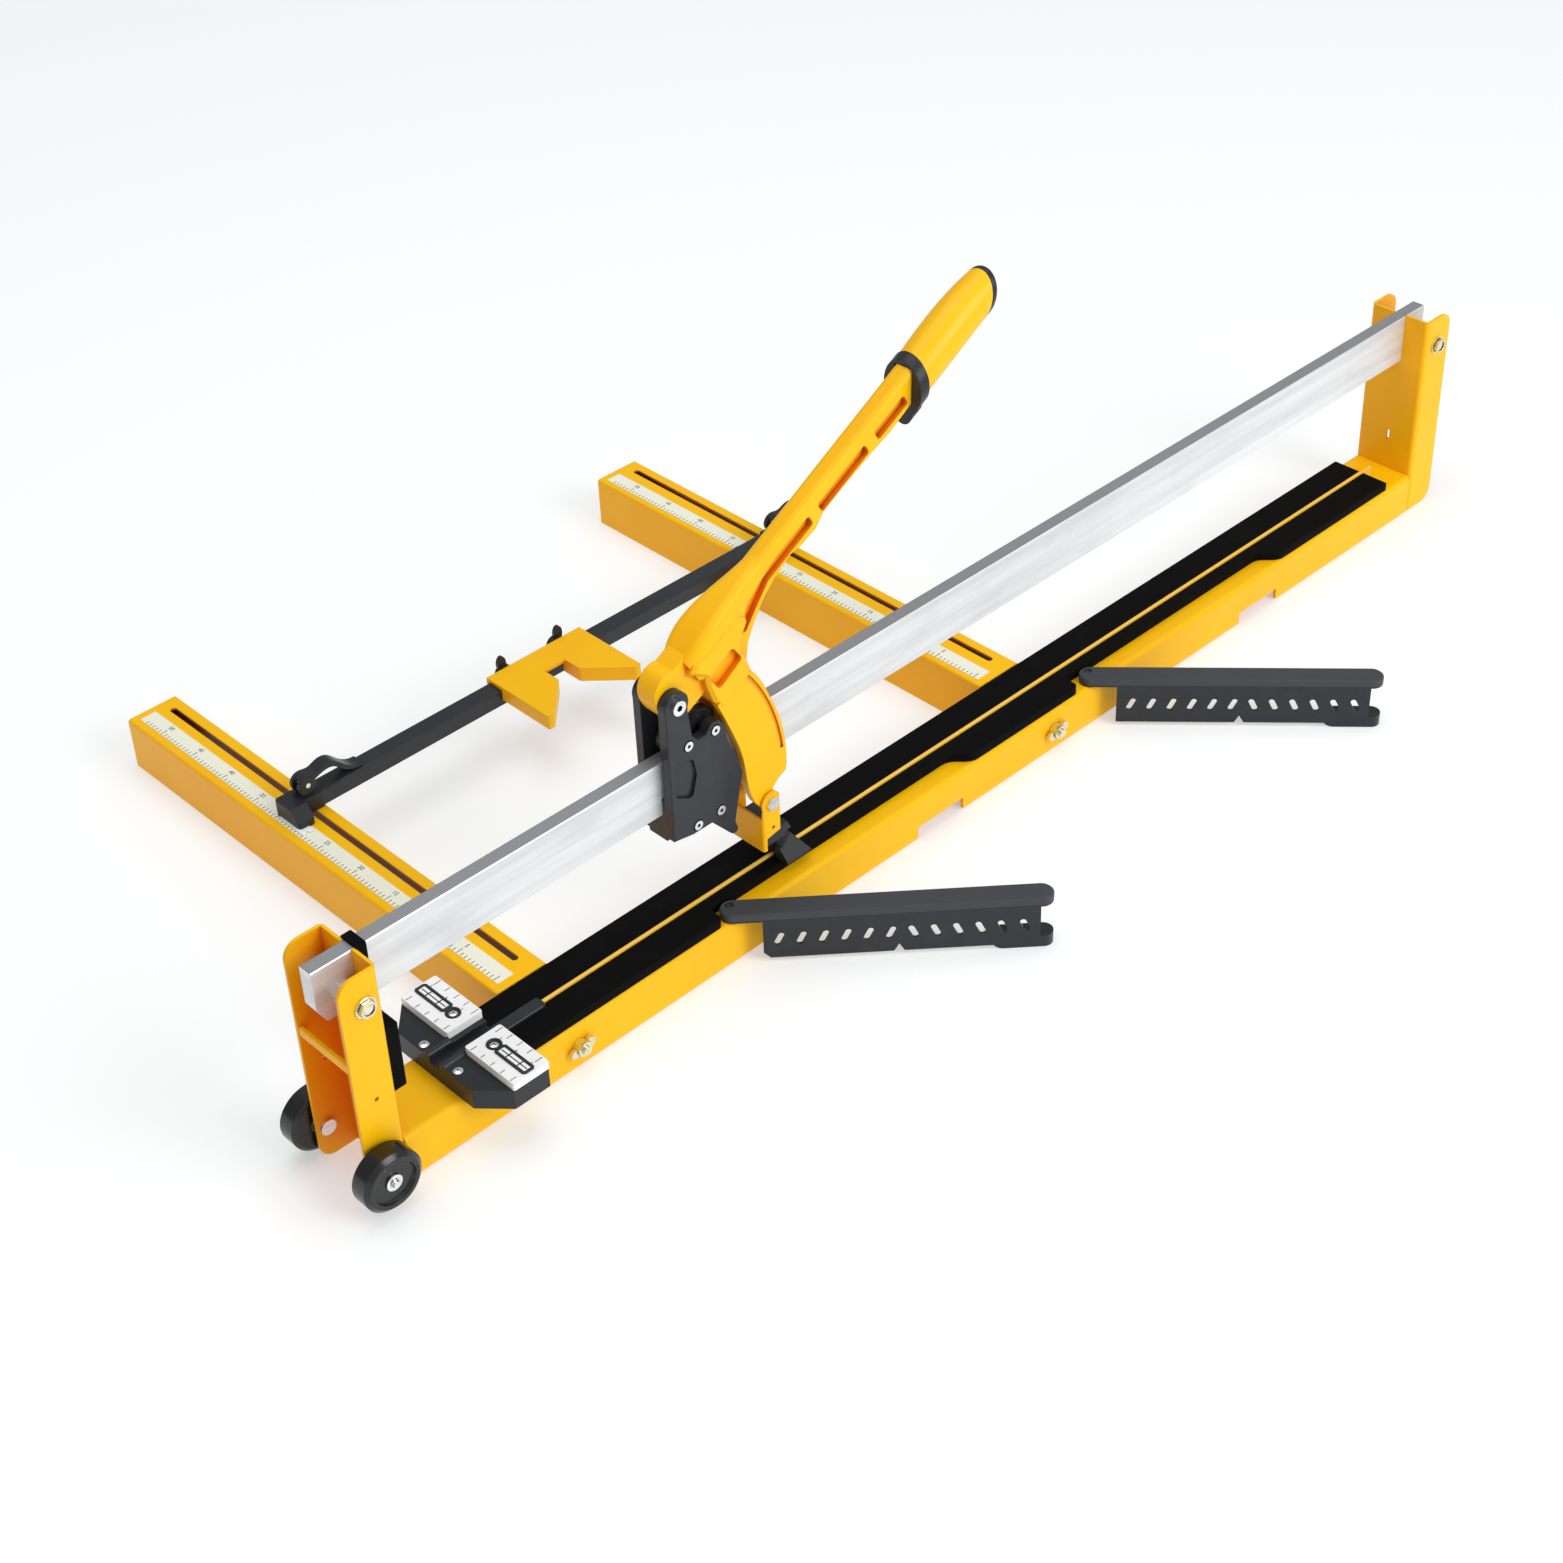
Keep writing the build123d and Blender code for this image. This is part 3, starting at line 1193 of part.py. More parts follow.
with BuildPart() as near_bearing:
    with BuildSketch(upright(bearing_spots[0], bearing_width / 2, bearing_z)):
        Circle(bearing_r - running)
        Circle(bearing_bore + running, mode=Mode.SUBTRACT)
    extrude(amount=bearing_width)
    for side in (-1, 1):
        with BuildSketch(upright(bearing_spots[0], side * bearing_width / 2, bearing_z)):
            Circle(bearing_r - 3)
            Circle(bearing_bore + 2.5, mode=Mode.SUBTRACT)
        extrude(amount=side * 0.8, mode=Mode.SUBTRACT)
near_bearing.part.label = "near_bearing"
export_step(near_bearing.part, "parts/near_bearing.step")

with BuildPart() as far_bearing:
    with BuildSketch(upright(bearing_spots[1], bearing_width / 2, bearing_z)):
        Circle(bearing_r - running)
        Circle(bearing_bore + running, mode=Mode.SUBTRACT)
    extrude(amount=bearing_width)
    for side in (-1, 1):
        with BuildSketch(upright(bearing_spots[1], side * bearing_width / 2, bearing_z)):
            Circle(bearing_r - 3)
            Circle(bearing_bore + 2.5, mode=Mode.SUBTRACT)
        extrude(amount=side * 0.8, mode=Mode.SUBTRACT)
far_bearing.part.label = "far_bearing"
export_step(far_bearing.part, "parts/far_bearing.step")

with BuildPart() as slide_block:
    with Locations((block_x, 0, rail_bottom - running)):
        Box(block_length, 2 * plate_inner, block_height, align=(Align.MIN, Align.CENTER, Align.MAX))
    for side in (-1, 1):
        with Locations((block_x, side * (half_rail + running), rail_bottom - 1)):
            Box(block_length, plate_inner - half_rail - running, cheek_height + 1,
                align=(Align.MIN, Align.MIN if side > 0 else Align.MAX, Align.MIN))
    with BuildSketch(upright(0, plate_inner)):
        with Locations(*lower_screw_spots):
            Circle(carriage_screw_r)
    extrude(amount=2 * plate_inner, mode=Mode.SUBTRACT)
slide_block.part.label = "slide_block"
export_step(slide_block.part, "parts/slide_block.step")

with BuildPart() as pivot_bolt:
    with BuildSketch(upright(pivot_x, plate_outer, pivot_z)):
        Circle(pivot_r)
    extrude(amount=2 * plate_outer)
    with BuildSketch(upright(pivot_x, plate_outer, pivot_z)):
        RegularPolygon(1.8 * pivot_r, 6)
    extrude(amount=-4.5)
    with BuildSketch(upright(pivot_x, -plate_outer, pivot_z)):
        Circle(1.7 * pivot_r)
    extrude(amount=3.5)
    with BuildSketch(upright(pivot_x, -plate_outer - 3.5, pivot_z)):
        RegularPolygon(3, 6)
    extrude(amount=-2.5, mode=Mode.SUBTRACT)
pivot_bolt.part.label = "pivot_bolt"
export_step(pivot_bolt.part, "parts/pivot_bolt.step")

# ================= handle =================
# The root and legs lean at handle_angle; the arm and grip are set a little steeper, at arm_angle.
lean = radians(handle_angle)
arm_lean = radians(arm_angle)


def lever_frame(y=0, slope=lean):
    """Sketch plane with its origin on the pivot, local x up along the casting, extruding towards -Y."""
    return Plane(origin=(pivot_x, y, pivot_z), x_dir=(cos(slope), 0, sin(slope)), z_dir=(0, -1, 0))


def across(distance, height=0):
    """Plane square to the arm's axis, local x along Y, local y up."""
    start = lever_frame(0, arm_lean).from_local_coords(Vector(distance, height, 0))
    return Plane(origin=start, x_dir=(0, 1, 0), z_dir=(cos(arm_lean), 0, sin(arm_lean)))


def lever_spot(x, z):
    """A point of the XZ plane in the handle's own directions."""
    return (
        (x - pivot_x) * cos(lean) + (z - pivot_z) * sin(lean),
        (z - pivot_z) * cos(lean) - (x - pivot_x) * sin(lean),
    )


joint_s, joint_t = lever_spot(clevis_x, clevis_z)
leg_tip_r = 8.5

def slanted(start, slant, t):
    """Point of a slanted end face of the handle at height t above the arm's axis."""
    return (start + slant * t, t)


arm_top = 18
arm_low = -9
arm_outline = [
    (60, 14),
    (106, arm_top - 2),
    (126, arm_top),
    slanted(collar_back + 2, collar_back_slant, arm_top),
    slanted(collar_back + 2, collar_back_slant, arm_low),
    slanted(collar_back - 2, collar_back_slant, arm_low),
    (293, -10),
    (272, -8),
    (230, -6),
    (205, -6),
    (191, -11.5),
    (171, -10),
    (160, -6.5),
    (137, -9),
    (116, -15),
    (97, -25),
    (84, -34),
    (74, -46),
    (60, -46),
]
# across the shoulder: distance up the arm, top, bottom and half width of each rounded section
shoulder_sections = [(30, 18, -13, 15), (46, 22.5, -20, 18.7), (72, 24.5, -17, 18.5),
                     (100, 22.5, -11, 14.5), (138, arm_top, -6, arm_half)]
body_outline = [
    (26, 8),
    (34, 13),
    (72, 13),
    (90, 6),
    (96, -3.5),
    (84, -9),
    (76, -16),
    (73, -26),
    (72.5, -37),
    (70, -50),
    (30, -52),
    (28, -38),
    (31, -20),
    (35, -8),
]
barrel_curve = [(19, 21), (2, 24), (-7.5, 17), (-12, 4), (-11, -12), (-4, -24), (10, -28)]
leg_outer_edge = [(69.5, -47), (71.2, -66), (69.5, -86), (66.5, -110), (59.3, -137), (46, -165)]
leg_inner_edge = [(1.5, -168), (4, -150), (16, -118), (24.5, -75), (28, -42)]

with BuildPart() as handle_casting:
    # wide root with bevelled rims
    with BuildSketch(lever_frame()):
        Polygon(*body_outline, align=None)
    extrude(amount=body_half, both=True)
    chamfer(handle_casting.faces().sort_by(Axis.Y)[0].edges(), 3)
    chamfer(handle_casting.faces().sort_by(Axis.Y)[-1].edges(), 3)
    # arm between the root and the collar, with a crowned top
    with BuildSketch(lever_frame(0, arm_lean)):
        Polygon(*arm_outline, align=None)
    extrude(amount=arm_half, both=True)
    fillet(handle_casting.edges().filter_by(lambda edge: edge.length > 150), 6)
    # shoulder that narrows smoothly from the root to the arm
    for distance, top, low, half in shoulder_sections:
        with BuildSketch(across(distance, (top + low) / 2)):
            RectangleRounded(2 * half, top - low, 8)
    loft()
    # back of the casting round the pivot bolt
    with BuildSketch(lever_frame()):
        with BuildLine():
            Spline(*barrel_curve)
            Polyline(barrel_curve[-1], (40, -28), (40, 21), barrel_curve[0])
        make_face()
    extrude(amount=barrel_half, both=True)
    # the two legs, one outline for both
    with BuildSketch(lever_frame()):
        with BuildLine():
            Spline(*leg_outer_edge)
            Polyline(
                leg_outer_edge[-1],
                (41, -171),
                (31, -170.5),
                (joint_s + leg_tip_r + 1.5, -173),
                (joint_s + leg_tip_r, joint_t),
            )
            ThreePointArc(
                (joint_s + leg_tip_r, joint_t),
                (joint_s, joint_t - leg_tip_r),
                (joint_s - leg_tip_r, joint_t),
            )
            Line((joint_s - leg_tip_r, joint_t), leg_inner_edge[0])
            Spline(*leg_inner_edge)
            Line(leg_inner_edge[-1], leg_outer_edge[0])
        make_face()
    extrude(amount=leg_outer, both=True)
    # the legs straddle the rail and clear the leading bearing
    with Locations((pivot_x + 60, 0, rail_top + rail_air)):
        Box(220, 2 * leg_inner, 200, align=(Align.CENTER, Align.CENTER, Align.MAX), mode=Mode.SUBTRACT)
    with BuildSketch(upright(bearing_spots[1], 0, bearing_z)):
        Circle(bearing_r + bearing_air)
    extrude(amount=leg_inner, both=True, mode=Mode.SUBTRACT)
    # side panels of the arm, window in the root, groove along the leg's outer edge
    for side in (-1, 1):
        with BuildSketch(lever_frame(side * (arm_half - panel_depth), arm_lean)) as panel_plan:
            Polygon(*root_panel, align=None)
            for first, last in arm_panels:
                with Locations((first, 0.5)):
                    Rectangle(last - first, 11, align=(Align.MIN, Align.CENTER))
            fillet(panel_plan.vertices(), 3)
        extrude(amount=-side * 2 * arm_half, mode=Mode.SUBTRACT)
        with BuildSketch(lever_frame(side * body_half)) as window_plan:
            Polygon((36, -11), (68, -8), (70, -27), (38, -30), align=None)
            fillet(window_plan.vertices(), 4)
        extrude(amount=side * window_sink, mode=Mode.SUBTRACT)
        with BuildSketch(lever_frame(side * leg_outer)):
            with BuildLine():
                Spline((62, -47), (63.5, -80), (59, -113), (49, -146))
                Line((49, -146), (52, -147.5))
                Spline((52, -147.5), (62.5, -114), (67, -80), (65.5, -48))
                Line((65.5, -48), (62, -47))
            make_face()
        extrude(amount=side * 2, mode=Mode.SUBTRACT)
    # bores
    with BuildSketch(lever_frame()):
        Circle(pivot_r + running)
        with Locations((joint_s, joint_t)):
            Circle(clevis_bolt_r + running)
    extrude(amount=body_half + 1, both=True, mode=Mode.SUBTRACT)
handle_casting.part.label = "handle_casting"
export_step(handle_casting.part, "parts/handle_casting.step")


with BuildPart() as handle_collar:
    with BuildSketch(across(collar_back - 40)) as collar_section:
        with Locations((0, 1)):
            Circle(collar_r)
        with Locations((0, -16)):
            Circle(12)
        with Locations((0, -9)):
            Rectangle(28, 14)
    extrude(amount=90)
    with BuildSketch(lever_frame(0, arm_lean)):
        Polygon(
            slanted(collar_back, collar_back_slant, 34),
            slanted(collar_front, collar_front_slant, 34),
            slanted(collar_front, collar_front_slant, -34),
            slanted(collar_back, collar_back_slant, -34),
            align=None,
        )
    extrude(amount=collar_r + 1, both=True, mode=Mode.INTERSECT)
    with BuildSketch(lever_frame(0, arm_lean)):
        Polygon(
            slanted(collar_back - 5, collar_back_slant, arm_top),
            slanted(collar_back + 2, collar_back_slant, arm_top),
            slanted(collar_back + 2, collar_back_slant, arm_low),
            slanted(collar_back - 5, collar_back_slant, arm_low),
            align=None,
        )
    extrude(amount=arm_half, both=True, mode=Mode.SUBTRACT)
handle_collar.part.label = "handle_collar"
export_step(handle_collar.part, "parts/handle_collar.step")

grip_sections = [(318, 0, 18.5), (365, 2.5, 20), (405, 3, 20), (460, -2, 16.5)]
with BuildPart() as handle_grip:
    for distance, height, radius in grip_sections:
        with BuildSketch(across(distance, height)):
            Circle(radius)
    loft()
    with BuildSketch(lever_frame(0, arm_lean)):
        Polygon(
            slanted(collar_front, collar_front_slant, 34),
            slanted(cap_start, cap_slant, 34),
            slanted(cap_start, cap_slant, -34),
            slanted(collar_front, collar_front_slant, -34),
            align=None,
        )
    extrude(amount=collar_r + 4, both=True, mode=Mode.INTERSECT)
handle_grip.part.label = "handle_grip"
export_step(handle_grip.part, "parts/handle_grip.step")

with BuildPart() as handle_cap:
    for distance, height, radius in grip_sections:
        with BuildSketch(across(distance, height)):
            Circle(radius)
    loft()
    with BuildSketch(lever_frame(0, arm_lean)):
        Polygon(
            slanted(cap_start, cap_slant, 34),
            slanted(cap_start + cap_length, cap_slant, 34),
            slanted(cap_start + cap_length, cap_slant, -34),
            slanted(cap_start, cap_slant, -34),
            align=None,
        )
    extrude(amount=collar_r + 4, both=True, mode=Mode.INTERSECT)
    fillet(handle_cap.edges().group_by(Axis.X)[-1], 3)
handle_cap.part.label = "handle_cap"
export_step(handle_cap.part, "parts/handle_cap.step")

# ================= cutting head =================
web_x = clevis_x - 11
with BuildPart() as clevis:
    with BuildSketch(Plane.XY.offset(web_low)) as clevis_plan:
        with Locations((web_x, 0)):
            Rectangle(clevis_depth, 2 * clevis_half, align=(Align.MIN, Align.CENTER))
        fillet(clevis_plan.vertices().group_by(Axis.X)[0], 3)
        with Locations((web_x + clevis_sheet, 0)):
            Rectangle(clevis_depth, 2 * (clevis_half - clevis_sheet), align=(Align.MIN, Align.CENTER),
                      mode=Mode.SUBTRACT)
    extrude(amount=clevis_z + ear_reach - web_low)
    with BuildSketch(upright(0)):
        Polygon(
            (web_x, web_low),
            (web_x + 4, web_low),
            (web_x + 4, ear_low),
            (web_x + clevis_depth, ear_low + 3),
            (web_x + clevis_depth, clevis_z),
            (clevis_x, clevis_z + ear_reach),
            (clevis_x - 8, clevis_z + 6),
            (web_x, web_high),
            align=None,
        )
        with Locations((clevis_x, clevis_z)):
            Circle(ear_reach)
    extrude(amount=clevis_half, both=True, mode=Mode.INTERSECT)
    with Locations((web_x - 1, 0, web_high - 4)):
        Box(clevis_sheet + 4, 2 * (clevis_half - clevis_sheet), 40,
            align=(Align.MIN, Align.CENTER, Align.MIN),
            mode=Mode.SUBTRACT)
    with BuildSketch(upright(0)):
        with Locations((clevis_x, clevis_z)):
            Circle(clevis_bolt_r)
        with Locations((clevis_x + 1, ear_low + 9)):
            Circle(1.7)
    extrude(amount=clevis_half + 1, both=True, mode=Mode.SUBTRACT)
clevis.part.label = "clevis"
export_step(clevis.part, "parts/clevis.step")

with BuildPart() as clevis_bolt:
    with BuildSketch(upright(clevis_x, clevis_half, clevis_z)):
        Circle(clevis_bolt_r)
    extrude(amount=2 * clevis_half)
    for side in (-1, 1):
        with BuildSketch(upright(clevis_x, side * clevis_half, clevis_z)):
            Circle(1.6 * clevis_bolt_r)
        extrude(amount=-side * 3)
clevis_bolt.part.label = "clevis_bolt"
export_step(clevis_bolt.part, "parts/clevis_bolt.step")

with BuildPart() as breaker_foot:
    with BuildSketch(Plane.YZ.offset(foot_x0)) as foot_outline:
        Polygon(
            (-foot_half, foot_bottom),
            (-foot_half, foot_bottom + 2),
            (-8, foot_top - 3),
            (0, foot_top),
            (8, foot_top - 3),
            (foot_half, foot_bottom + 2),
            (foot_half, foot_bottom),
            (guide_width / 2 + air, foot_bottom),
            (guide_width / 2 + air - 2, guide_top + air),
            (-guide_width / 2 - air + 2, guide_top + air),
            (-guide_width / 2 - air, foot_bottom),
            align=None,
        )
    extrude(amount=foot_x1 - foot_x0)
    with BuildSketch(upright(0)):
        Polygon(
            (foot_x1, foot_bottom + 2),
            (foot_x1 - 13, foot_top + 1),
            (foot_x1 + 1, foot_top + 1),
            (foot_x1 + 1, foot_bottom + 2),
            align=None,
        )
    extrude(amount=foot_half + 1, both=True, mode=Mode.SUBTRACT)
    # neck up to the clevis, and two lugs held between its ears
    with BuildSketch(upright(0)):
        Polygon(
            (foot_x0, foot_top - 6),
            (foot_x0, neck_low),
            (web_x + clevis_sheet, neck_low),
            (web_x + clevis_sheet, neck_high),
            (foot_x0 + 3, neck_high),
            (foot_x1 - 12, foot_top - 3),
            align=None,
        )
    extrude(amount=clevis_half - clevis_sheet, both=True)
    with Locations((holder_start, 0, foot_bottom - 1)):
        Box(holder_end - holder_start, 2 * holder_half, neck_low - foot_bottom + 1,
            align=(Align.MIN, Align.CENTER, Align.MIN), mode=Mode.SUBTRACT)
    with BuildSketch(Plane.YZ.offset(foot_x0)):
        Polygon((-21, foot_top - 8), (-8, foot_top - 3), (-8, neck_low), (-14, neck_low + 5),
                (-21, neck_low + 5),
                align=None)
        Polygon((21, foot_top - 8), (8, foot_top - 3), (8, neck_low), (14, neck_low + 5), (21, neck_low + 5),
                align=None)
    extrude(amount=40, mode=Mode.SUBTRACT)
breaker_foot.part.label = "breaker_foot"
export_step(breaker_foot.part, "parts/breaker_foot.step")

with BuildPart() as wheel_holder:
    with Locations((holder_start, 0, holder_low)):
        Box(holder_end - holder_start, 2 * holder_half, neck_low - holder_low,
            align=(Align.MIN, Align.CENTER, Align.MIN))
    with Locations((holder_start - 1, 0, holder_low - 1)):
        Box(holder_end - holder_start + 2, score_width + 2 * slip, score_z + score_r + 1 + air - holder_low,
            align=(Align.MIN, Align.CENTER, Align.MIN), mode=Mode.SUBTRACT)
    with BuildSketch(upright(score_x, 0, score_z)):
        Circle(score_pin_r)
    extrude(amount=holder_half, both=True, mode=Mode.SUBTRACT)
wheel_holder.part.label = "wheel_holder"
export_step(wheel_holder.part, "parts/wheel_holder.step")

with BuildPart() as wheel_pin:
    with BuildSketch(upright(score_x, 0, score_z)):
        Circle(score_pin_r)
    extrude(amount=holder_half, both=True)
wheel_pin.part.label = "wheel_pin"
export_step(wheel_pin.part, "parts/wheel_pin.step")

with BuildPart() as scoring_wheel:
    with BuildSketch(Plane.YZ.offset(score_x)):
        Polygon(
            (-score_width / 2, score_z + score_pin_r + running),
            (-score_width / 2, score_z + score_r - score_width / 2),
            (0, score_z + score_r),
            (score_width / 2, score_z + score_r - score_width / 2),
            (score_width / 2, score_z + score_pin_r + running),
            align=None,
        )
    revolve(axis=Axis((score_x, 0, score_z), (0, 1, 0)), revolution_arc=360)
scoring_wheel.part.label = "scoring_wheel"
export_step(scoring_wheel.part, "parts/scoring_wheel.step")
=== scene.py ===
import bmesh
import bpy
import json
import math
from mathutils import Matrix, Vector


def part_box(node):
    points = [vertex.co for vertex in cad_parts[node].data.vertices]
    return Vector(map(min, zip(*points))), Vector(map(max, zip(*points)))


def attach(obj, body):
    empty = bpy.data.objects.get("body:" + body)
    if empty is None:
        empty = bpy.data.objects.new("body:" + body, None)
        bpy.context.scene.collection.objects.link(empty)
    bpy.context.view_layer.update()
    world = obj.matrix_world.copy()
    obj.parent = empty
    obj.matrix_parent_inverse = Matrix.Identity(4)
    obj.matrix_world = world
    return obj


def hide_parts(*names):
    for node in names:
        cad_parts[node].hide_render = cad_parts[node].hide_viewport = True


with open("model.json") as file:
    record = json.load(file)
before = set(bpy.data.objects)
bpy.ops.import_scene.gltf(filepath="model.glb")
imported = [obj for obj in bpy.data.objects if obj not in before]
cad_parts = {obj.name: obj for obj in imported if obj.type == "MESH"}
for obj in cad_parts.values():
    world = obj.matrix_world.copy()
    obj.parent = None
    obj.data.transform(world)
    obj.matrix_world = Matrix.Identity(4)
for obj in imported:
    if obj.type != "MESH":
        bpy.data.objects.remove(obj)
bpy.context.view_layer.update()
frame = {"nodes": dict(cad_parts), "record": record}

nodes = frame["nodes"]
scene = bpy.context.scene
mm = 0.001
print("frame loaded,", len(nodes), "nodes")


cameraSetup = {
    "place": (-1.45909, -1.33517, 1.54522),
    "yaw": 47.150,  # heading from +X towards +Y
    "pitch": 35.275,  # down from level
    "roll": -2.392,
    "lens": 60.858,
    "sensor": 36.0,
    "shiftY": -0.08,
}


def makeCamera(setup):
    yaw, pitch, roll = (math.radians(setup[key]) for key in ("yaw", "pitch", "roll"))
    ahead = Vector((math.cos(yaw) * math.cos(pitch), math.sin(yaw) * math.cos(pitch), -math.sin(pitch)))
    right = Vector((math.sin(yaw), -math.cos(yaw), 0))
    up = right.cross(ahead)
    tiltedRight = right * math.cos(roll) + up * math.sin(roll)
    tiltedUp = up * math.cos(roll) - right * math.sin(roll)
    data = bpy.data.cameras.new("viewCamera")
    data.lens = setup["lens"]
    data.sensor_width = setup["sensor"]
    data.shift_y = setup["shiftY"]
    camera = bpy.data.objects.new("viewCamera", data)
    scene.collection.objects.link(camera)
    turn = Matrix((tiltedRight, tiltedUp, -ahead)).transposed()
    camera.matrix_world = Matrix.Translation(setup["place"]) @ turn.to_4x4()
    scene.camera = camera


makeCamera(cameraSetup)
scene.view_settings.view_transform = "Standard"
scene.view_settings.look = "None"


# node maths: a Wire wraps one output socket, and + - * / on it add the nodes
class Wire:
    def __init__(self, tree, socket):
        self.tree = tree
        self.socket = socket

    def out(self, name):
        return Wire(self.tree, self.socket.node.outputs[name])

    def math(self, operation, other=0.0, flipped=False):
        pair = (other, self) if flipped else (self, other)
        return self.tree.node("ShaderNodeMath", {"operation": operation}, {0: pair[0], 1: pair[1]})

    def __add__(self, other):
        return self.math("ADD", other)

    def __radd__(self, other):
        return self.math("ADD", other, True)

    def __sub__(self, other):
        return self.math("SUBTRACT", other)

    def __rsub__(self, other):
        return self.math("SUBTRACT", other, True)

    def __mul__(self, other):
        return self.math("MULTIPLY", other)

    def __rmul__(self, other):
        return self.math("MULTIPLY", other, True)

    def __truediv__(self, other):
        return self.math("DIVIDE", other)

    def __rtruediv__(self, other):
        return self.math("DIVIDE", other, True)

    def __pow__(self, other):
        return self.math("POWER", other)

    def __lt__(self, other):
        return self.math("LESS_THAN", other)

    def clamped(self, low, high):  # low..high becomes 0..1
        return self.tree.node("ShaderNodeMapRange", {"clamp": True},
                              {"Value": self, "From Min": low, "From Max": high})


class Tree:  # any node tree
    def node(self, kind, settings={}, sockets={}):
        made = self.tree.nodes.new(kind)
        for key, value in settings.items():
            if key == "stops":
                self.setStops(made.color_ramp, value)
            else:
                setattr(made, key, value)
        for key, value in sockets.items():
            self.feed(made.inputs[key], value)
        return Wire(self, made.outputs[0])

    def feed(self, socket, value):
        for one in value if isinstance(value, list) else [value]:
            if isinstance(one, Wire):
                self.tree.links.new(one.socket, socket)
            else:
                socket.default_value = one

    def setStops(self, ramp, stops):
        while len(ramp.elements) < len(stops):
            ramp.elements.new(0.5)
        for element, (position, colour) in zip(ramp.elements, stops):
            element.position = position
            element.color = colour


class Finish(Tree):  # one material and the nodes in it
    def __init__(self, name):
        self.material = bpy.data.materials.new(name)
        self.material.use_nodes = True
        self.tree = self.material.node_tree
        self.shader = self.tree.nodes["Principled BSDF"]
        self.place = self.node("ShaderNodeTexCoord").out("Object")

    def surface(self, **sockets):
        for key, value in sockets.items():
            self.feed(self.shader.inputs[key.replace("_", " ")], value)

    def noise(self, scale, detail=2.0, rough=0.5, where=None):
        sockets = {"Vector": where or self.place, "Scale": scale, "Detail": detail, "Roughness": rough}
        return self.node("ShaderNodeTexNoise", {"noise_dimensions": "3D"}, sockets)

    def stretched(self, scales):
        return self.node("ShaderNodeMapping", {}, {"Vector": self.place, "Scale": scales})

    def mix(self, factor, first, second):  # colours
        blend = self.node("ShaderNodeMix", {"data_type": "RGBA"}, {0: factor, 6: first, 7: second})
        return Wire(self, blend.socket.node.outputs[2])

    def rounded(self, radius):  # normal of softened edges
        return self.node("ShaderNodeBevel", {"samples": 4}, {"Radius": radius})

    def edges(self, softened):  # 1 on edges, 0 on flats
        straight = self.node("ShaderNodeNewGeometry").out("True Normal")
        along = self.node("ShaderNodeVectorMath", {"operation": "DOT_PRODUCT"}, {0: softened, 1: straight})
        return (1 - along.out("Value")).clamped(0.01, 0.16)

    def hollow(self, reach):  # 1 deep in the node's own recesses, 0 in the open; it masks painted shade
        settings = {"samples": 8, "only_local": True}
        return 1 - self.node("ShaderNodeAmbientOcclusion", settings, {"Distance": reach}).out("AO")

    def facing(self, axis):  # the normal's share along X, Y or Z; it masks painted shade by direction
        straight = self.node("ShaderNodeNewGeometry").out("True Normal")
        return self.node("ShaderNodeSeparateXYZ", {}, {0: straight}).out(axis)

    def bump(self, height, distance, strength=1.0, normal=None):
        sockets = {"Height": height, "Distance": distance, "Strength": strength}
        if normal:
            sockets["Normal"] = normal
        return self.node("ShaderNodeBump", {}, sockets)


# finishes
coatSizes = {"peel": 900.0, "peelDepth": 0.00003, "edge": 0.0012, "roughness": 0.34,
             "reach": 0.09, "dusty": 0.01, "shine": 0.16}


# the last argument gives the reach and the two ends of the painted shade that blackens slots and deep recesses
def powderCoat(name, colour, shadeAndToneColour, chipColour, chips=0.6, coat=0.04, slotShade=(0.02, 0.62, 0.85)):
    finish = Finish(name)
    softened = finish.rounded(coatSizes["edge"])
    edge = finish.edges(softened)
    cloud = finish.noise(7, 3).clamped(0.32, 0.68)
    dust = finish.noise(60, 5, 0.6).clamped(0.45, 0.8)
    chip = edge * finish.noise(260, 4, 0.7).clamped(chips, chips + 0.07)
    hairlines = finish.noise(40, 2, 0.5, finish.stretched((1, 14, 3))).clamped(0.7, 0.74)
    peel = finish.noise(coatSizes["peel"], 1)
    # painted shade: the coat turns towards the shade colour in its own recesses
    tone = finish.mix(finish.hollow(coatSizes["reach"]).clamped(0.1, 0.75), colour, shadeAndToneColour)
    reach, low, high = slotShade
    # painted shade: slots and deep recesses go nearly black
    tone = finish.mix(finish.hollow(reach).clamped(low, high), tone, (0.01, 0.006, 0.004, 1))
    # painted shade: faces turned towards −X mix towards the shade colour, along with random cloudy tone and a
    # little on edges
    shaded = (0 - finish.facing("X")).clamped(0.3, 1)
    tone = finish.mix(cloud * 0.12 + edge * 0.1 + shaded * 0.22, tone, shadeAndToneColour)
    tone = finish.mix(dust * coatSizes["dusty"], tone, (0.75, 0.72, 0.66, 1))
    tone = finish.mix(chip, tone, chipColour)
    finish.surface(
        Base_Color=tone,
        Roughness=coatSizes["roughness"] + dust * 0.12 + hairlines * 0.08 + chip * 0.2,
        Metallic=chip * 0.6,
        Specular_IOR_Level=coatSizes["shine"],
        Coat_Weight=coat,
        Coat_Roughness=0.12,
        Normal=finish.bump(peel + hairlines * -0.4 + chip * -2, coatSizes["peelDepth"], 0.6, softened),
    )
    return finish.material
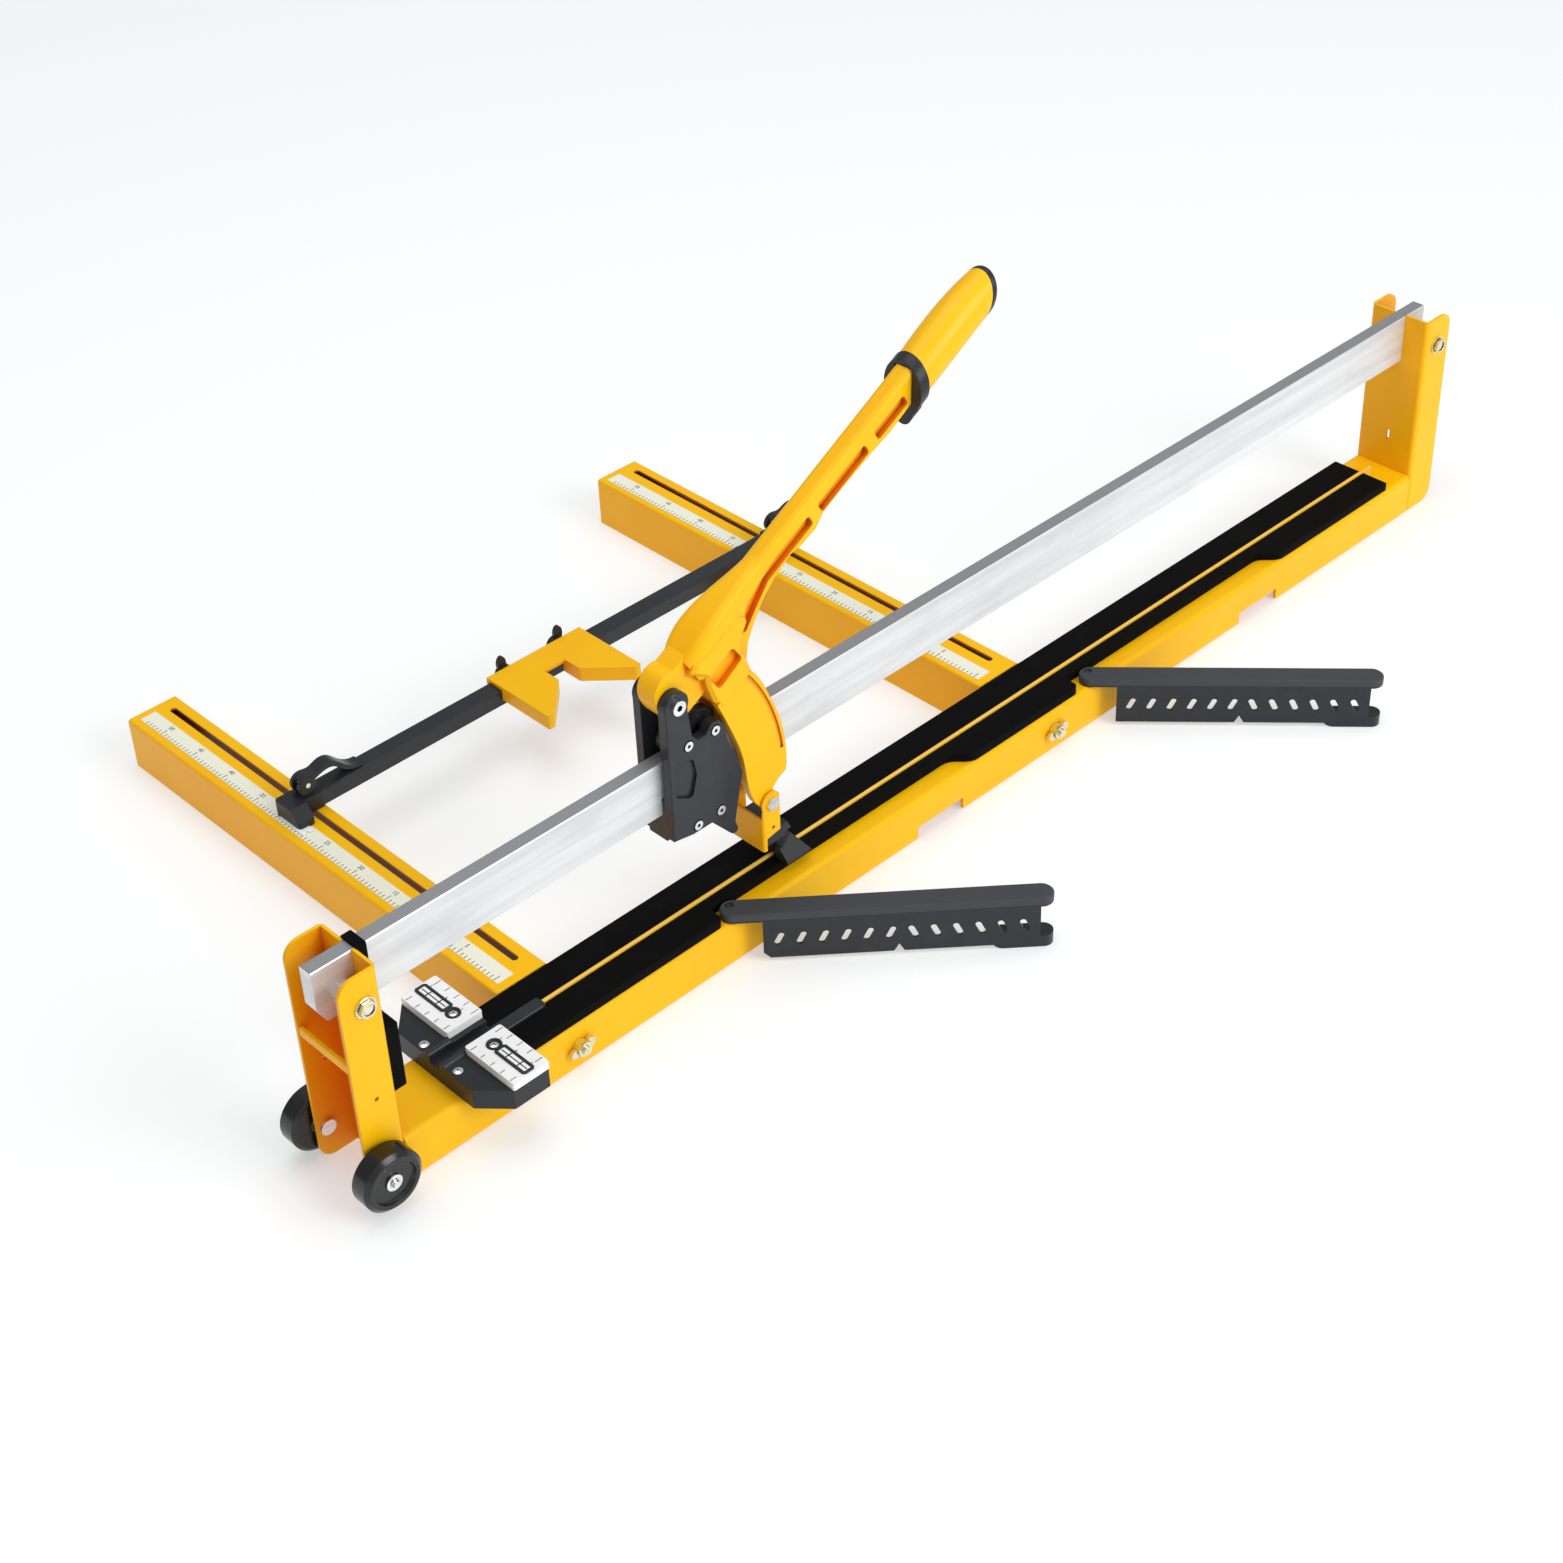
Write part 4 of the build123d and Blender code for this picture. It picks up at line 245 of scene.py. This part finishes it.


# lines run along the grain, and top faces take a darker colour of their own, a painted shade
def drawnSteel(name, colour, darkColour, topShadeColour, lines, roughness, metal=1.0):
    finish = Finish(name)
    softened = finish.rounded(0.0006)
    streaks = finish.noise(10, 6, 0.7, finish.stretched(lines))
    fine = finish.noise(60, 3, 0.6, finish.stretched(lines))
    smudge = finish.noise(9, 4, 0.6, finish.stretched((0.8, 2, 2.6))).clamped(0.5, 0.72)
    tone = finish.mix(streaks.clamped(0.3, 0.7), darkColour, colour)
    tone = finish.mix(smudge * 0.7, tone, darkColour)
    # painted shade: faces turned up take the darker top colour
    finish.surface(
        Base_Color=finish.mix(finish.facing("Z").clamped(0.7, 0.9), tone, topShadeColour),
        Metallic=metal,
        Roughness=roughness + fine.clamped(0.3, 0.7) * 0.1 + smudge * 0.08,
        Normal=finish.bump(fine + streaks, 0.00002, 0.5, softened),
    )
    return finish.material


def plated(name, colour, tint, roughness):
    finish = Finish(name)
    softened = finish.rounded(0.0004)
    cloud = finish.noise(180, 3).clamped(0.35, 0.7)
    scuffs = finish.noise(900, 4, 0.7).clamped(0.55, 0.75)
    tone = finish.mix(cloud * 0.7, colour, tint)
    # painted shade: the recesses of screws and bolts are darkened towards black
    finish.surface(
        Base_Color=finish.mix(finish.hollow(0.01).clamped(0.25, 0.55), tone, (0.02, 0.02, 0.02, 1)),
        Metallic=1.0,
        Roughness=roughness + cloud * 0.08 + scuffs * 0.12,
        Normal=finish.bump(scuffs, 0.00002, 0.4, softened),
    )
    return finish.material


def mouldedPlastic(name, colour, paleColour, roughness, grain=1500.0, depth=0.00003, edge=0.0006, shine=0.3):
    finish = Finish(name)
    softened = finish.rounded(edge)
    worn = finish.edges(softened)
    texture = finish.noise(grain, 2, 0.6)
    scuff = finish.noise(45, 5, 0.7).clamped(0.52, 0.8)
    finish.surface(
        Base_Color=finish.mix(scuff * 0.25 + worn * 0.3, colour, paleColour),
        Roughness=roughness + scuff * 0.15 - worn * 0.08,
        Specular_IOR_Level=shine,
        Normal=finish.bump(texture, depth, 0.7, softened),
    )
    return finish.material


def cellFoam(name, colour, paleColour):  # cell rubber of the pads and feet
    finish = Finish(name)
    softened = finish.rounded(0.0008)
    cells = finish.node("ShaderNodeTexVoronoi", {"feature": "F1"}, {"Vector": finish.place, "Scale": 900.0})
    grain = finish.noise(500, 4, 0.7)
    dust = finish.noise(25, 5, 0.7).clamped(0.5, 0.85)
    finish.surface(
        Base_Color=finish.mix(dust * 0.3 + finish.edges(softened) * 0.2, colour, paleColour),
        Roughness=0.82 + grain * 0.12,
        Specular_IOR_Level=0.12,
        Normal=finish.bump(cells + grain, 0.00012, 0.8, softened),
    )
    return finish.material


gold = (0.97, 0.54, 0.002, 1)
# amber is the yellow coat's painted shade colour, which also carries its random tone
amber = (0.84, 0.16, 0.004, 1)
bareMetal = (0.4, 0.36, 0.3, 1)
slate = (0.022, 0.025, 0.031, 1)
slateShade = (0.008, 0.009, 0.011, 1)
groundSteel = (0.5, 0.51, 0.53, 1)
materials = {
    "yellow_paint": powderCoat("yellowCoat", gold, amber, bareMetal),
    "black_paint": powderCoat("blackCoat", slate, slateShade, (0.3, 0.3, 0.3, 1), chips=0.66, coat=0.3),
    "pad_rubber": cellFoam("cellRubber", (0.0015, 0.0015, 0.0015, 1), (0.012, 0.012, 0.012, 1)),
    "rib_strip": mouldedPlastic("ribPlastic", (0.93, 0.55, 0.07, 1), (0.95, 0.8, 0.35, 1), 0.42, grain=700.0),
    "rail_steel": drawnSteel("railSteel", (0.93, 0.935, 0.94, 1), (0.6, 0.605, 0.62, 1), (0.3, 0.31, 0.33, 1),
                             lines=(0.15, 5, 5), roughness=0.42, metal=0.45),
    "chrome": plated("boltPlating", (0.9, 0.9, 0.91, 1), (0.66, 0.66, 0.69, 1), 0.16),
    "zinc": plated("zincPlating", (0.84, 0.8, 0.64, 1), (0.62, 0.62, 0.42, 1), 0.2),
    "black_plastic": mouldedPlastic("blackNylon", (0.018, 0.021, 0.026, 1), (0.05, 0.052, 0.06, 1), 0.34),
    "grip_plastic": mouldedPlastic("gripRubber", (0.97, 0.52, 0.002, 1), (0.98, 0.62, 0.03, 1), 0.3,
                                   grain=1100.0, shine=0.25),
    "tape": mouldedPlastic("scaleTape", (0.88, 0.88, 0.74, 1), (0.7, 0.72, 0.5, 1), 0.38,
                           grain=400.0, depth=0.00001),
    "white_scale": mouldedPlastic("scalePlastic", (0.93, 0.935, 0.94, 1), (0.6, 0.6, 0.58, 1), 0.35),
    "wheel_tread": mouldedPlastic("wheelNylon", (0.005, 0.005, 0.006, 1), (0.04, 0.04, 0.042, 1), 0.22,
                                  grain=800.0, depth=0.00002, edge=0.0015, shine=0.5),
    "carbide": drawnSteel("groundSteel", groundSteel, (0.3, 0.3, 0.32, 1), groundSteel,
                          lines=(4, 4, 4), roughness=0.3),
}
# this coat paints deeper shade into the side arms' slots
slottedCoat = powderCoat("slottedCoat", gold, amber, bareMetal, slotShade=(0.08, 0.4, 0.65))
stripRubber = mouldedPlastic("stripRubber", (0.045, 0.05, 0.058, 1), (0.08, 0.085, 0.095, 1), 0.5,
                             grain=900.0, depth=0.00004, edge=0.002)
# nodes whose look differs from the rest of their slot
ownFinish = {
    "near_side_arm": slottedCoat,
    "far_side_arm": slottedCoat,
    "near_fold_strip": stripRubber,
    "far_fold_strip": stripRubber,
    "wheel_axles": materials["chrome"],
}
slotOf = {row["node"]: row["material_slot"] for row in frame["record"]["subparts"]}
for name, node in nodes.items():
    if not node.data.materials:
        node.data.materials.append(None)
    for index in range(len(node.data.materials)):
        node.data.materials[index] = ownFinish.get(name, materials[slotOf[name]])
print("materials set")


# shapes made by node trees, one mesh for each body
class Shape(Tree):
    def __init__(self, name, sizes):
        self.name = name
        self.sizes = sizes
        self.tree = bpy.data.node_groups.new(name, "GeometryNodeTree")
        self.tree.interface.new_socket("seats", in_out="INPUT", socket_type="NodeSocketGeometry")
        kinds = {int: "NodeSocketInt", float: "NodeSocketFloat"}
        for key, value in sizes.items():
            self.tree.interface.new_socket(key, in_out="INPUT", socket_type=kinds[type(value)])
        self.tree.interface.new_socket("mesh", in_out="OUTPUT", socket_type="NodeSocketGeometry")
        self.start = self.tree.nodes.new("NodeGroupInput")
        self.end = self.tree.nodes.new("NodeGroupOutput")

    def size(self, key):
        return Wire(self, self.start.outputs[key])

    def vector(self, x=0.0, y=0.0, z=0.0):
        return self.node("ShaderNodeCombineXYZ", {}, {"X": x, "Y": y, "Z": z})

    def moved(self, geometry, offset=(0, 0, 0), scale=(1, 1, 1)):
        sockets = {"Geometry": geometry, "Translation": offset, "Scale": scale}
        return self.node("GeometryNodeTransform", {}, sockets)

    def block(self, size):
        return self.node("GeometryNodeMeshCube", {}, {"Size": size})

    def prism(self, sides, radius, depth):
        sockets = {"Vertices": sides, "Radius": radius, "Depth": depth}
        return self.node("GeometryNodeMeshCylinder", {}, sockets)

    def cut(self, solid, cutters):
        return self.node("GeometryNodeMeshBoolean", {"operation": "DIFFERENCE", "solver": "EXACT"},
                         {"Mesh 1": solid, "Mesh 2": cutters})

    def joined(self, parts):
        return self.node("GeometryNodeJoinGeometry", {}, {"Geometry": parts})

    def atSeats(self, geometry):
        return self.node("GeometryNodeInstanceOnPoints", {}, {"Points": self.size("seats"), "Instance": geometry})

    def piece(self, geometry, slotName, body, seats, replaced=()):
        solid = self.node("GeometryNodeRealizeInstances", {}, {"Geometry": geometry})
        sockets = {"Geometry": solid, "Material": materials[slotName]}
        self.feed(self.end.inputs["mesh"], self.node("GeometryNodeSetMaterial", {}, sockets))
        seatMesh = bpy.data.meshes.new(self.name + "Seats")
        seatMesh.from_pydata([Vector(seat) * mm for seat in seats], [], [])
        maker = bpy.data.objects.new(self.name + "Maker", seatMesh)
        scene.collection.objects.link(maker)
        modifier = maker.modifiers.new("shape", "NODES")
        modifier.node_group = self.tree
        for item in self.tree.interface.items_tree:
            if item.in_out == "INPUT" and item.name in self.sizes:
                modifier[item.identifier] = self.sizes[item.name]
        shaped = maker.evaluated_get(bpy.context.evaluated_depsgraph_get())
        mesh = bpy.data.meshes.new_from_object(shaped)
        maker.modifiers.remove(modifier)
        bpy.data.objects.remove(maker)
        mesh.name = self.name
        addPiece(self.name, mesh, slotName, body, replaced)


def addPiece(name, mesh, slotName, body, replaced=()):
    made = bpy.data.objects.new(name, mesh)
    scene.collection.objects.link(made)
    if not mesh.materials:
        mesh.materials.append(materials[slotName])
    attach(made, body)
    if replaced:
        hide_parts(*replaced)
    print(name, len(mesh.polygons), "faces")


# printed marks: a row of short bars from each seat, every nth one longer
def makeMarks(name, sizes, slotName, body, seats):
    shape = Shape(name, sizes)
    bar = shape.block(shape.vector(shape.size("length"), shape.size("width"), shape.size("height")))
    bar = shape.moved(bar, shape.vector(shape.size("length") * 0.5 * shape.size("side")))
    step = shape.vector(0.0, shape.size("pitch"))
    row = shape.node("GeometryNodeMeshLine", {}, {"Count": shape.size("count"), "Offset": step})
    place = shape.node("GeometryNodeInputIndex") / shape.size("every")
    longOne = place.math("FRACT") < 0.01
    stretch = shape.vector(1 + longOne * shape.size("longer"), 1.0, 1.0)
    sockets = {"Points": row, "Instance": bar, "Scale": stretch}
    bars = shape.node("GeometryNodeInstanceOnPoints", {}, sockets)
    shape.piece(shape.atSeats(bars), slotName, body, seats)


tape = {"width": 17.5, "firstMark": 50, "markX": 0.6, "numberX": 12.3, "numberHeight": 6.5, "step": 50,
        "numbers": 10}
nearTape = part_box("scale_tapes")[0].x / mm
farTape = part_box("scale_tapes")[1].x / mm - tape["width"]
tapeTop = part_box("scale_tapes")[1].z / mm
tapeMarks = {"count": 106, "every": 10, "pitch": 0.005, "length": 0.004, "longer": 0.8,
             "width": 0.0007, "height": 0.0002, "side": 1.0}
makeMarks("tapeMarks", tapeMarks, "black_plastic", "base",
          [(x + tape["markX"], tape["firstMark"], tapeTop) for x in (nearTape, farTape)])
textTurn = math.radians(-90)
textDepth = 0.0001


# labels are pairs of a text and its place
def makeNumbers(name, labels, height, slotName, body):
    joined = bmesh.new()
    for text, place in labels:
        curve = bpy.data.curves.new(name, "FONT")
        curve.body = text
        curve.size = height * mm
        curve.extrude = textDepth
        curve.align_x = "CENTER"
        curve.align_y = "CENTER"
        curve.resolution_u = 3
        holder = bpy.data.objects.new(name, curve)
        scene.collection.objects.link(holder)
        shaped = holder.evaluated_get(bpy.context.evaluated_depsgraph_get())
        mesh = bpy.data.meshes.new_from_object(shaped)
        bpy.data.objects.remove(holder)
        mesh.transform(Matrix.Translation(Vector(place) * mm) @ Matrix.Rotation(textTurn, 4, "Z"))
        joined.from_mesh(mesh)
    bmesh.ops.remove_doubles(joined, verts=joined.verts, dist=0.00002)
    bmesh.ops.recalc_face_normals(joined, faces=joined.faces)
    mesh = bpy.data.meshes.new(name)
    joined.to_mesh(mesh)
    joined.free()
    mesh.materials.clear()
    addPiece(name, mesh, slotName, body)


tapeLabels = []
for x in (nearTape, farTape):
    for count in range(1, tape["numbers"] + 1):
        place = (x + tape["numberX"], tape["firstMark"] + count * tape["step"], tapeTop)
        tapeLabels.append((str(count * tape["step"] // 10), place))
makeNumbers("tapeNumbers", tapeLabels, tape["numberHeight"], "black_plastic", "base")


# rulers of the front stop: marks along both long sides, framed windows, screw rings
ruler = {"start": -596, "end": -559, "top": 72.8, "nearRows": (-68, 17), "farRows": (-66, 15), "margin": 1,
         "numberHeight": 4.2, "numberMargin": 11, "numberStart": 5, "numberStep": 10,
         "windowX": -577.5, "windowInner": 33, "windowOuter": 71, "screwY": 26.5, "screwDepth": 1.4}
rulerMarks = {"count": 5, "every": 4, "pitch": 0.0125, "length": 0.005, "longer": 0.3,
              "width": 0.0007, "height": 0.0002, "side": 1.0}
nearSeats = [(ruler["start"] + ruler["margin"], y, ruler["top"]) for y in ruler["nearRows"]]
makeMarks("rulerMarksNear", rulerMarks, "black_plastic", "base", nearSeats)
farSeats = [(ruler["end"] - ruler["margin"], y, ruler["top"]) for y in ruler["farRows"]]
makeMarks("rulerMarksFar", rulerMarks | {"side": -1.0, "length": 0.006}, "black_plastic", "base", farSeats)
rulerLabels = []
for side in (-1, 1):
    for count in (2, 4, 6):
        y = side * (ruler["numberStart"] + count * ruler["numberStep"])
        rulerLabels.append((str(count), (ruler["end"] - ruler["numberMargin"], y, ruler["top"])))
makeNumbers("rulerNumbers", rulerLabels, ruler["numberHeight"], "black_plastic", "base")

windowSizes = {"length": 0.039, "width": 0.0125, "band": 0.0029, "rise": 0.0016, "corner": 0.0012,
               "line": 0.001, "crossLine": 0.0012, "spacing": 0.36}
windowSeat = {"frame": 0.2, "insert": 0.1, "lines": 0.15}


def raised(places, key):
    return [(x, y, z + windowSeat[key]) for x, y, z in places]


def makeWindows(sizes, places):
    frames = Shape("windowFrames", sizes)
    edge = frames.node("GeometryNodeCurvePrimitiveQuadrilateral", {}, {
        "Width": frames.size("width") - frames.size("band"),
        "Height": frames.size("length") - frames.size("band"),
    })
    edge = frames.node("GeometryNodeFilletCurve", {}, {"Curve": edge, "Radius": frames.size("corner")})
    profile = frames.node("GeometryNodeCurvePrimitiveQuadrilateral", {},
                          {"Width": frames.size("band"), "Height": frames.size("rise")})
    band = frames.node("GeometryNodeCurveToMesh", {}, {"Curve": edge, "Profile Curve": profile})
    frames.piece(frames.atSeats(band), "black_plastic", "base", raised(places, "frame"), ["ruler_windows"])

    inserts = Shape("windowInserts", sizes)
    plate = inserts.block(inserts.vector(inserts.size("width") - inserts.size("band"),
                                         inserts.size("length") - inserts.size("band"),
                                         inserts.size("rise") * 0.5))
    inserts.piece(inserts.atSeats(plate), "white_scale", "base", raised(places, "insert"))

    lines = Shape("windowLines", sizes)
    rise = lines.size("rise") * 0.6
    thin = lines.block(lines.vector(lines.size("width") * 0.8, lines.size("crossLine"), rise))
    spacing = lines.size("length") * lines.size("spacing")
    row = lines.node("GeometryNodeMeshLine", {}, {
        "Count": 2,
        "Start Location": lines.vector(0.0, spacing * -0.5),
        "Offset": lines.vector(0.0, spacing),
    })
    across = lines.node("GeometryNodeInstanceOnPoints", {}, {"Points": row, "Instance": thin})
    along = lines.block(lines.vector(lines.size("line"), lines.size("length") * 0.8, rise))
    both = lines.atSeats(lines.joined([across, along]))
    lines.piece(both, "black_plastic", "base", raised(places, "lines"))


windowMiddle = (ruler["windowInner"] + ruler["windowOuter"]) / 2
makeWindows(windowSizes, [(ruler["windowX"], side * windowMiddle, ruler["top"]) for side in (-1, 1)])

ringSizes = {"radius": 0.0056, "thick": 0.0013, "around": 36, "sides": 8}


def makeRings(sizes, seats):
    shape = Shape("screwRings", sizes)
    loop = shape.node("GeometryNodeCurvePrimitiveCircle", {},
                      {"Resolution": shape.size("around"), "Radius": shape.size("radius")})
    profile = shape.node("GeometryNodeCurvePrimitiveCircle", {},
                         {"Resolution": shape.size("sides"), "Radius": shape.size("thick")})
    ring = shape.node("GeometryNodeCurveToMesh", {}, {"Curve": loop, "Profile Curve": profile})
    shape.piece(shape.atSeats(ring), "black_plastic", "base", seats)


makeRings(ringSizes, [(ruler["windowX"], side * ruler["screwY"], ruler["top"]) for side in (-1, 1)])


# domed screws with a cross sunk in the head
def makeScrews(name, sizes, slotName, body, seats, replaced):
    shape = Shape(name, sizes)
    ball = {"Segments": shape.size("around"), "Rings": shape.size("rings"), "Radius": 1.0}
    dome = shape.node("GeometryNodeMeshUVSphere", {}, ball)
    dome = shape.moved(dome, scale=shape.vector(shape.size("head"), shape.size("head"), shape.size("rise")))
    lift = shape.vector(0.0, 0.0, shape.size("rise"))
    wide, thin = shape.size("recess") * 2, shape.size("recess") * 0.4
    recess = [shape.moved(shape.block(shape.vector(x, y, shape.size("rise"))), lift)
              for x, y in ((wide, thin), (thin, wide))]
    head = shape.cut(dome, recess)
    shank = shape.moved(shape.prism(shape.size("shankSides"), shape.size("shank"), shape.size("length")),
                        shape.vector(0.0, 0.0, shape.size("length") * -0.5))
    shape.piece(shape.atSeats(shape.joined([head, shank])), slotName, body, seats, replaced)


stopScrews = {"head": 0.0052, "rise": 0.0019, "recess": 0.0015, "shank": 0.002, "length": 0.0028,
              "around": 32, "rings": 12, "shankSides": 20}
frontScrew = {"x": -612, "y": 22, "z": 64.2}
stopSeats = [(frontScrew["x"], side * frontScrew["y"], frontScrew["z"]) for side in (-1, 1)]
ringDepth = ruler["top"] - ruler["screwDepth"]
stopSeats += [(ruler["windowX"], side * ruler["screwY"], ringDepth) for side in (-1, 1)]
makeScrews("stopScrews", stopScrews, "chrome", "base", stopSeats, ["stop_screws"])
print("scale marks and screws made")


# floor and light
studio = {
    "floorSize": 24.0,
    "floorColour": (0.63, 0.655, 0.665, 1),
    "floorRoughness": 0.65,
    "glow": 0.39,
    "skyDirection": (0.15, -0.85, 0.5),
    "skySpread": (-0.6, 0.9),
    "skyLevels": (0.42, 0.85),
}


def makeFloor():
    mesh = bpy.data.meshes.new("floor")
    half = studio["floorSize"] / 2
    corners = [(-half, -half, 0), (half, -half, 0), (half, half, 0), (-half, half, 0)]
    mesh.from_pydata(corners, [], [(0, 1, 2, 3)])
    floor = bpy.data.objects.new("floor", mesh)
    scene.collection.objects.link(floor)
    finish = Finish("paleFloor")
    finish.surface(
        Base_Color=studio["floorColour"],
        Roughness=studio["floorRoughness"],
        Specular_IOR_Level=0.2,
        Emission_Color=(1, 1, 1, 1),
        Emission_Strength=studio["glow"],
    )
    mesh.materials.append(finish.material)


def makeSky():  # brighter towards the key light, white to the camera
    world = bpy.data.worlds.new("studioSky")
    scene.world = world
    world.use_nodes = True
    sky = Tree()
    sky.tree = world.node_tree
    sky.tree.nodes.clear()
    heading = sky.node("ShaderNodeTexCoord").out("Generated")
    brightest = Vector(studio["skyDirection"]).normalized()
    towards = sky.node("ShaderNodeVectorMath", {"operation": "DOT_PRODUCT"}, {0: heading, 1: brightest})
    low, high = studio["skySpread"]
    dim, bright = studio["skyLevels"]
    ends = {"From Min": low, "From Max": high, "To Min": dim, "To Max": bright}
    level = sky.node("ShaderNodeMapRange", {}, {"Value": towards.out("Value")} | ends)
    seen = sky.node("ShaderNodeLightPath").out("Is Camera Ray")
    strength = sky.node("ShaderNodeMix", {}, {"Factor": seen, "A": level, "B": 1.0})
    shine = sky.node("ShaderNodeBackground", {}, {"Strength": strength})
    sky.feed(sky.tree.nodes.new("ShaderNodeOutputWorld").inputs["Surface"], shine)


def makeLight(name, place, aim, size, power):
    data = bpy.data.lights.new(name, "AREA")
    data.shape = "DISK"
    data.size = size
    data.energy = power
    light = bpy.data.objects.new(name, data)
    scene.collection.objects.link(light)
    light.location = place
    light.rotation_mode = "QUATERNION"
    light.rotation_quaternion = (Vector(aim) - Vector(place)).to_track_quat("-Z", "Y")


makeFloor()
makeSky()
makeLight("keyPanel", (0.6, -3.2, 2.4), (0, 0, 0.1), 2.4, 70)
makeLight("topPanel", (-0.4, 0.6, 3.6), (0, 0.1, 0.1), 3.0, 40)
print("studio ready")
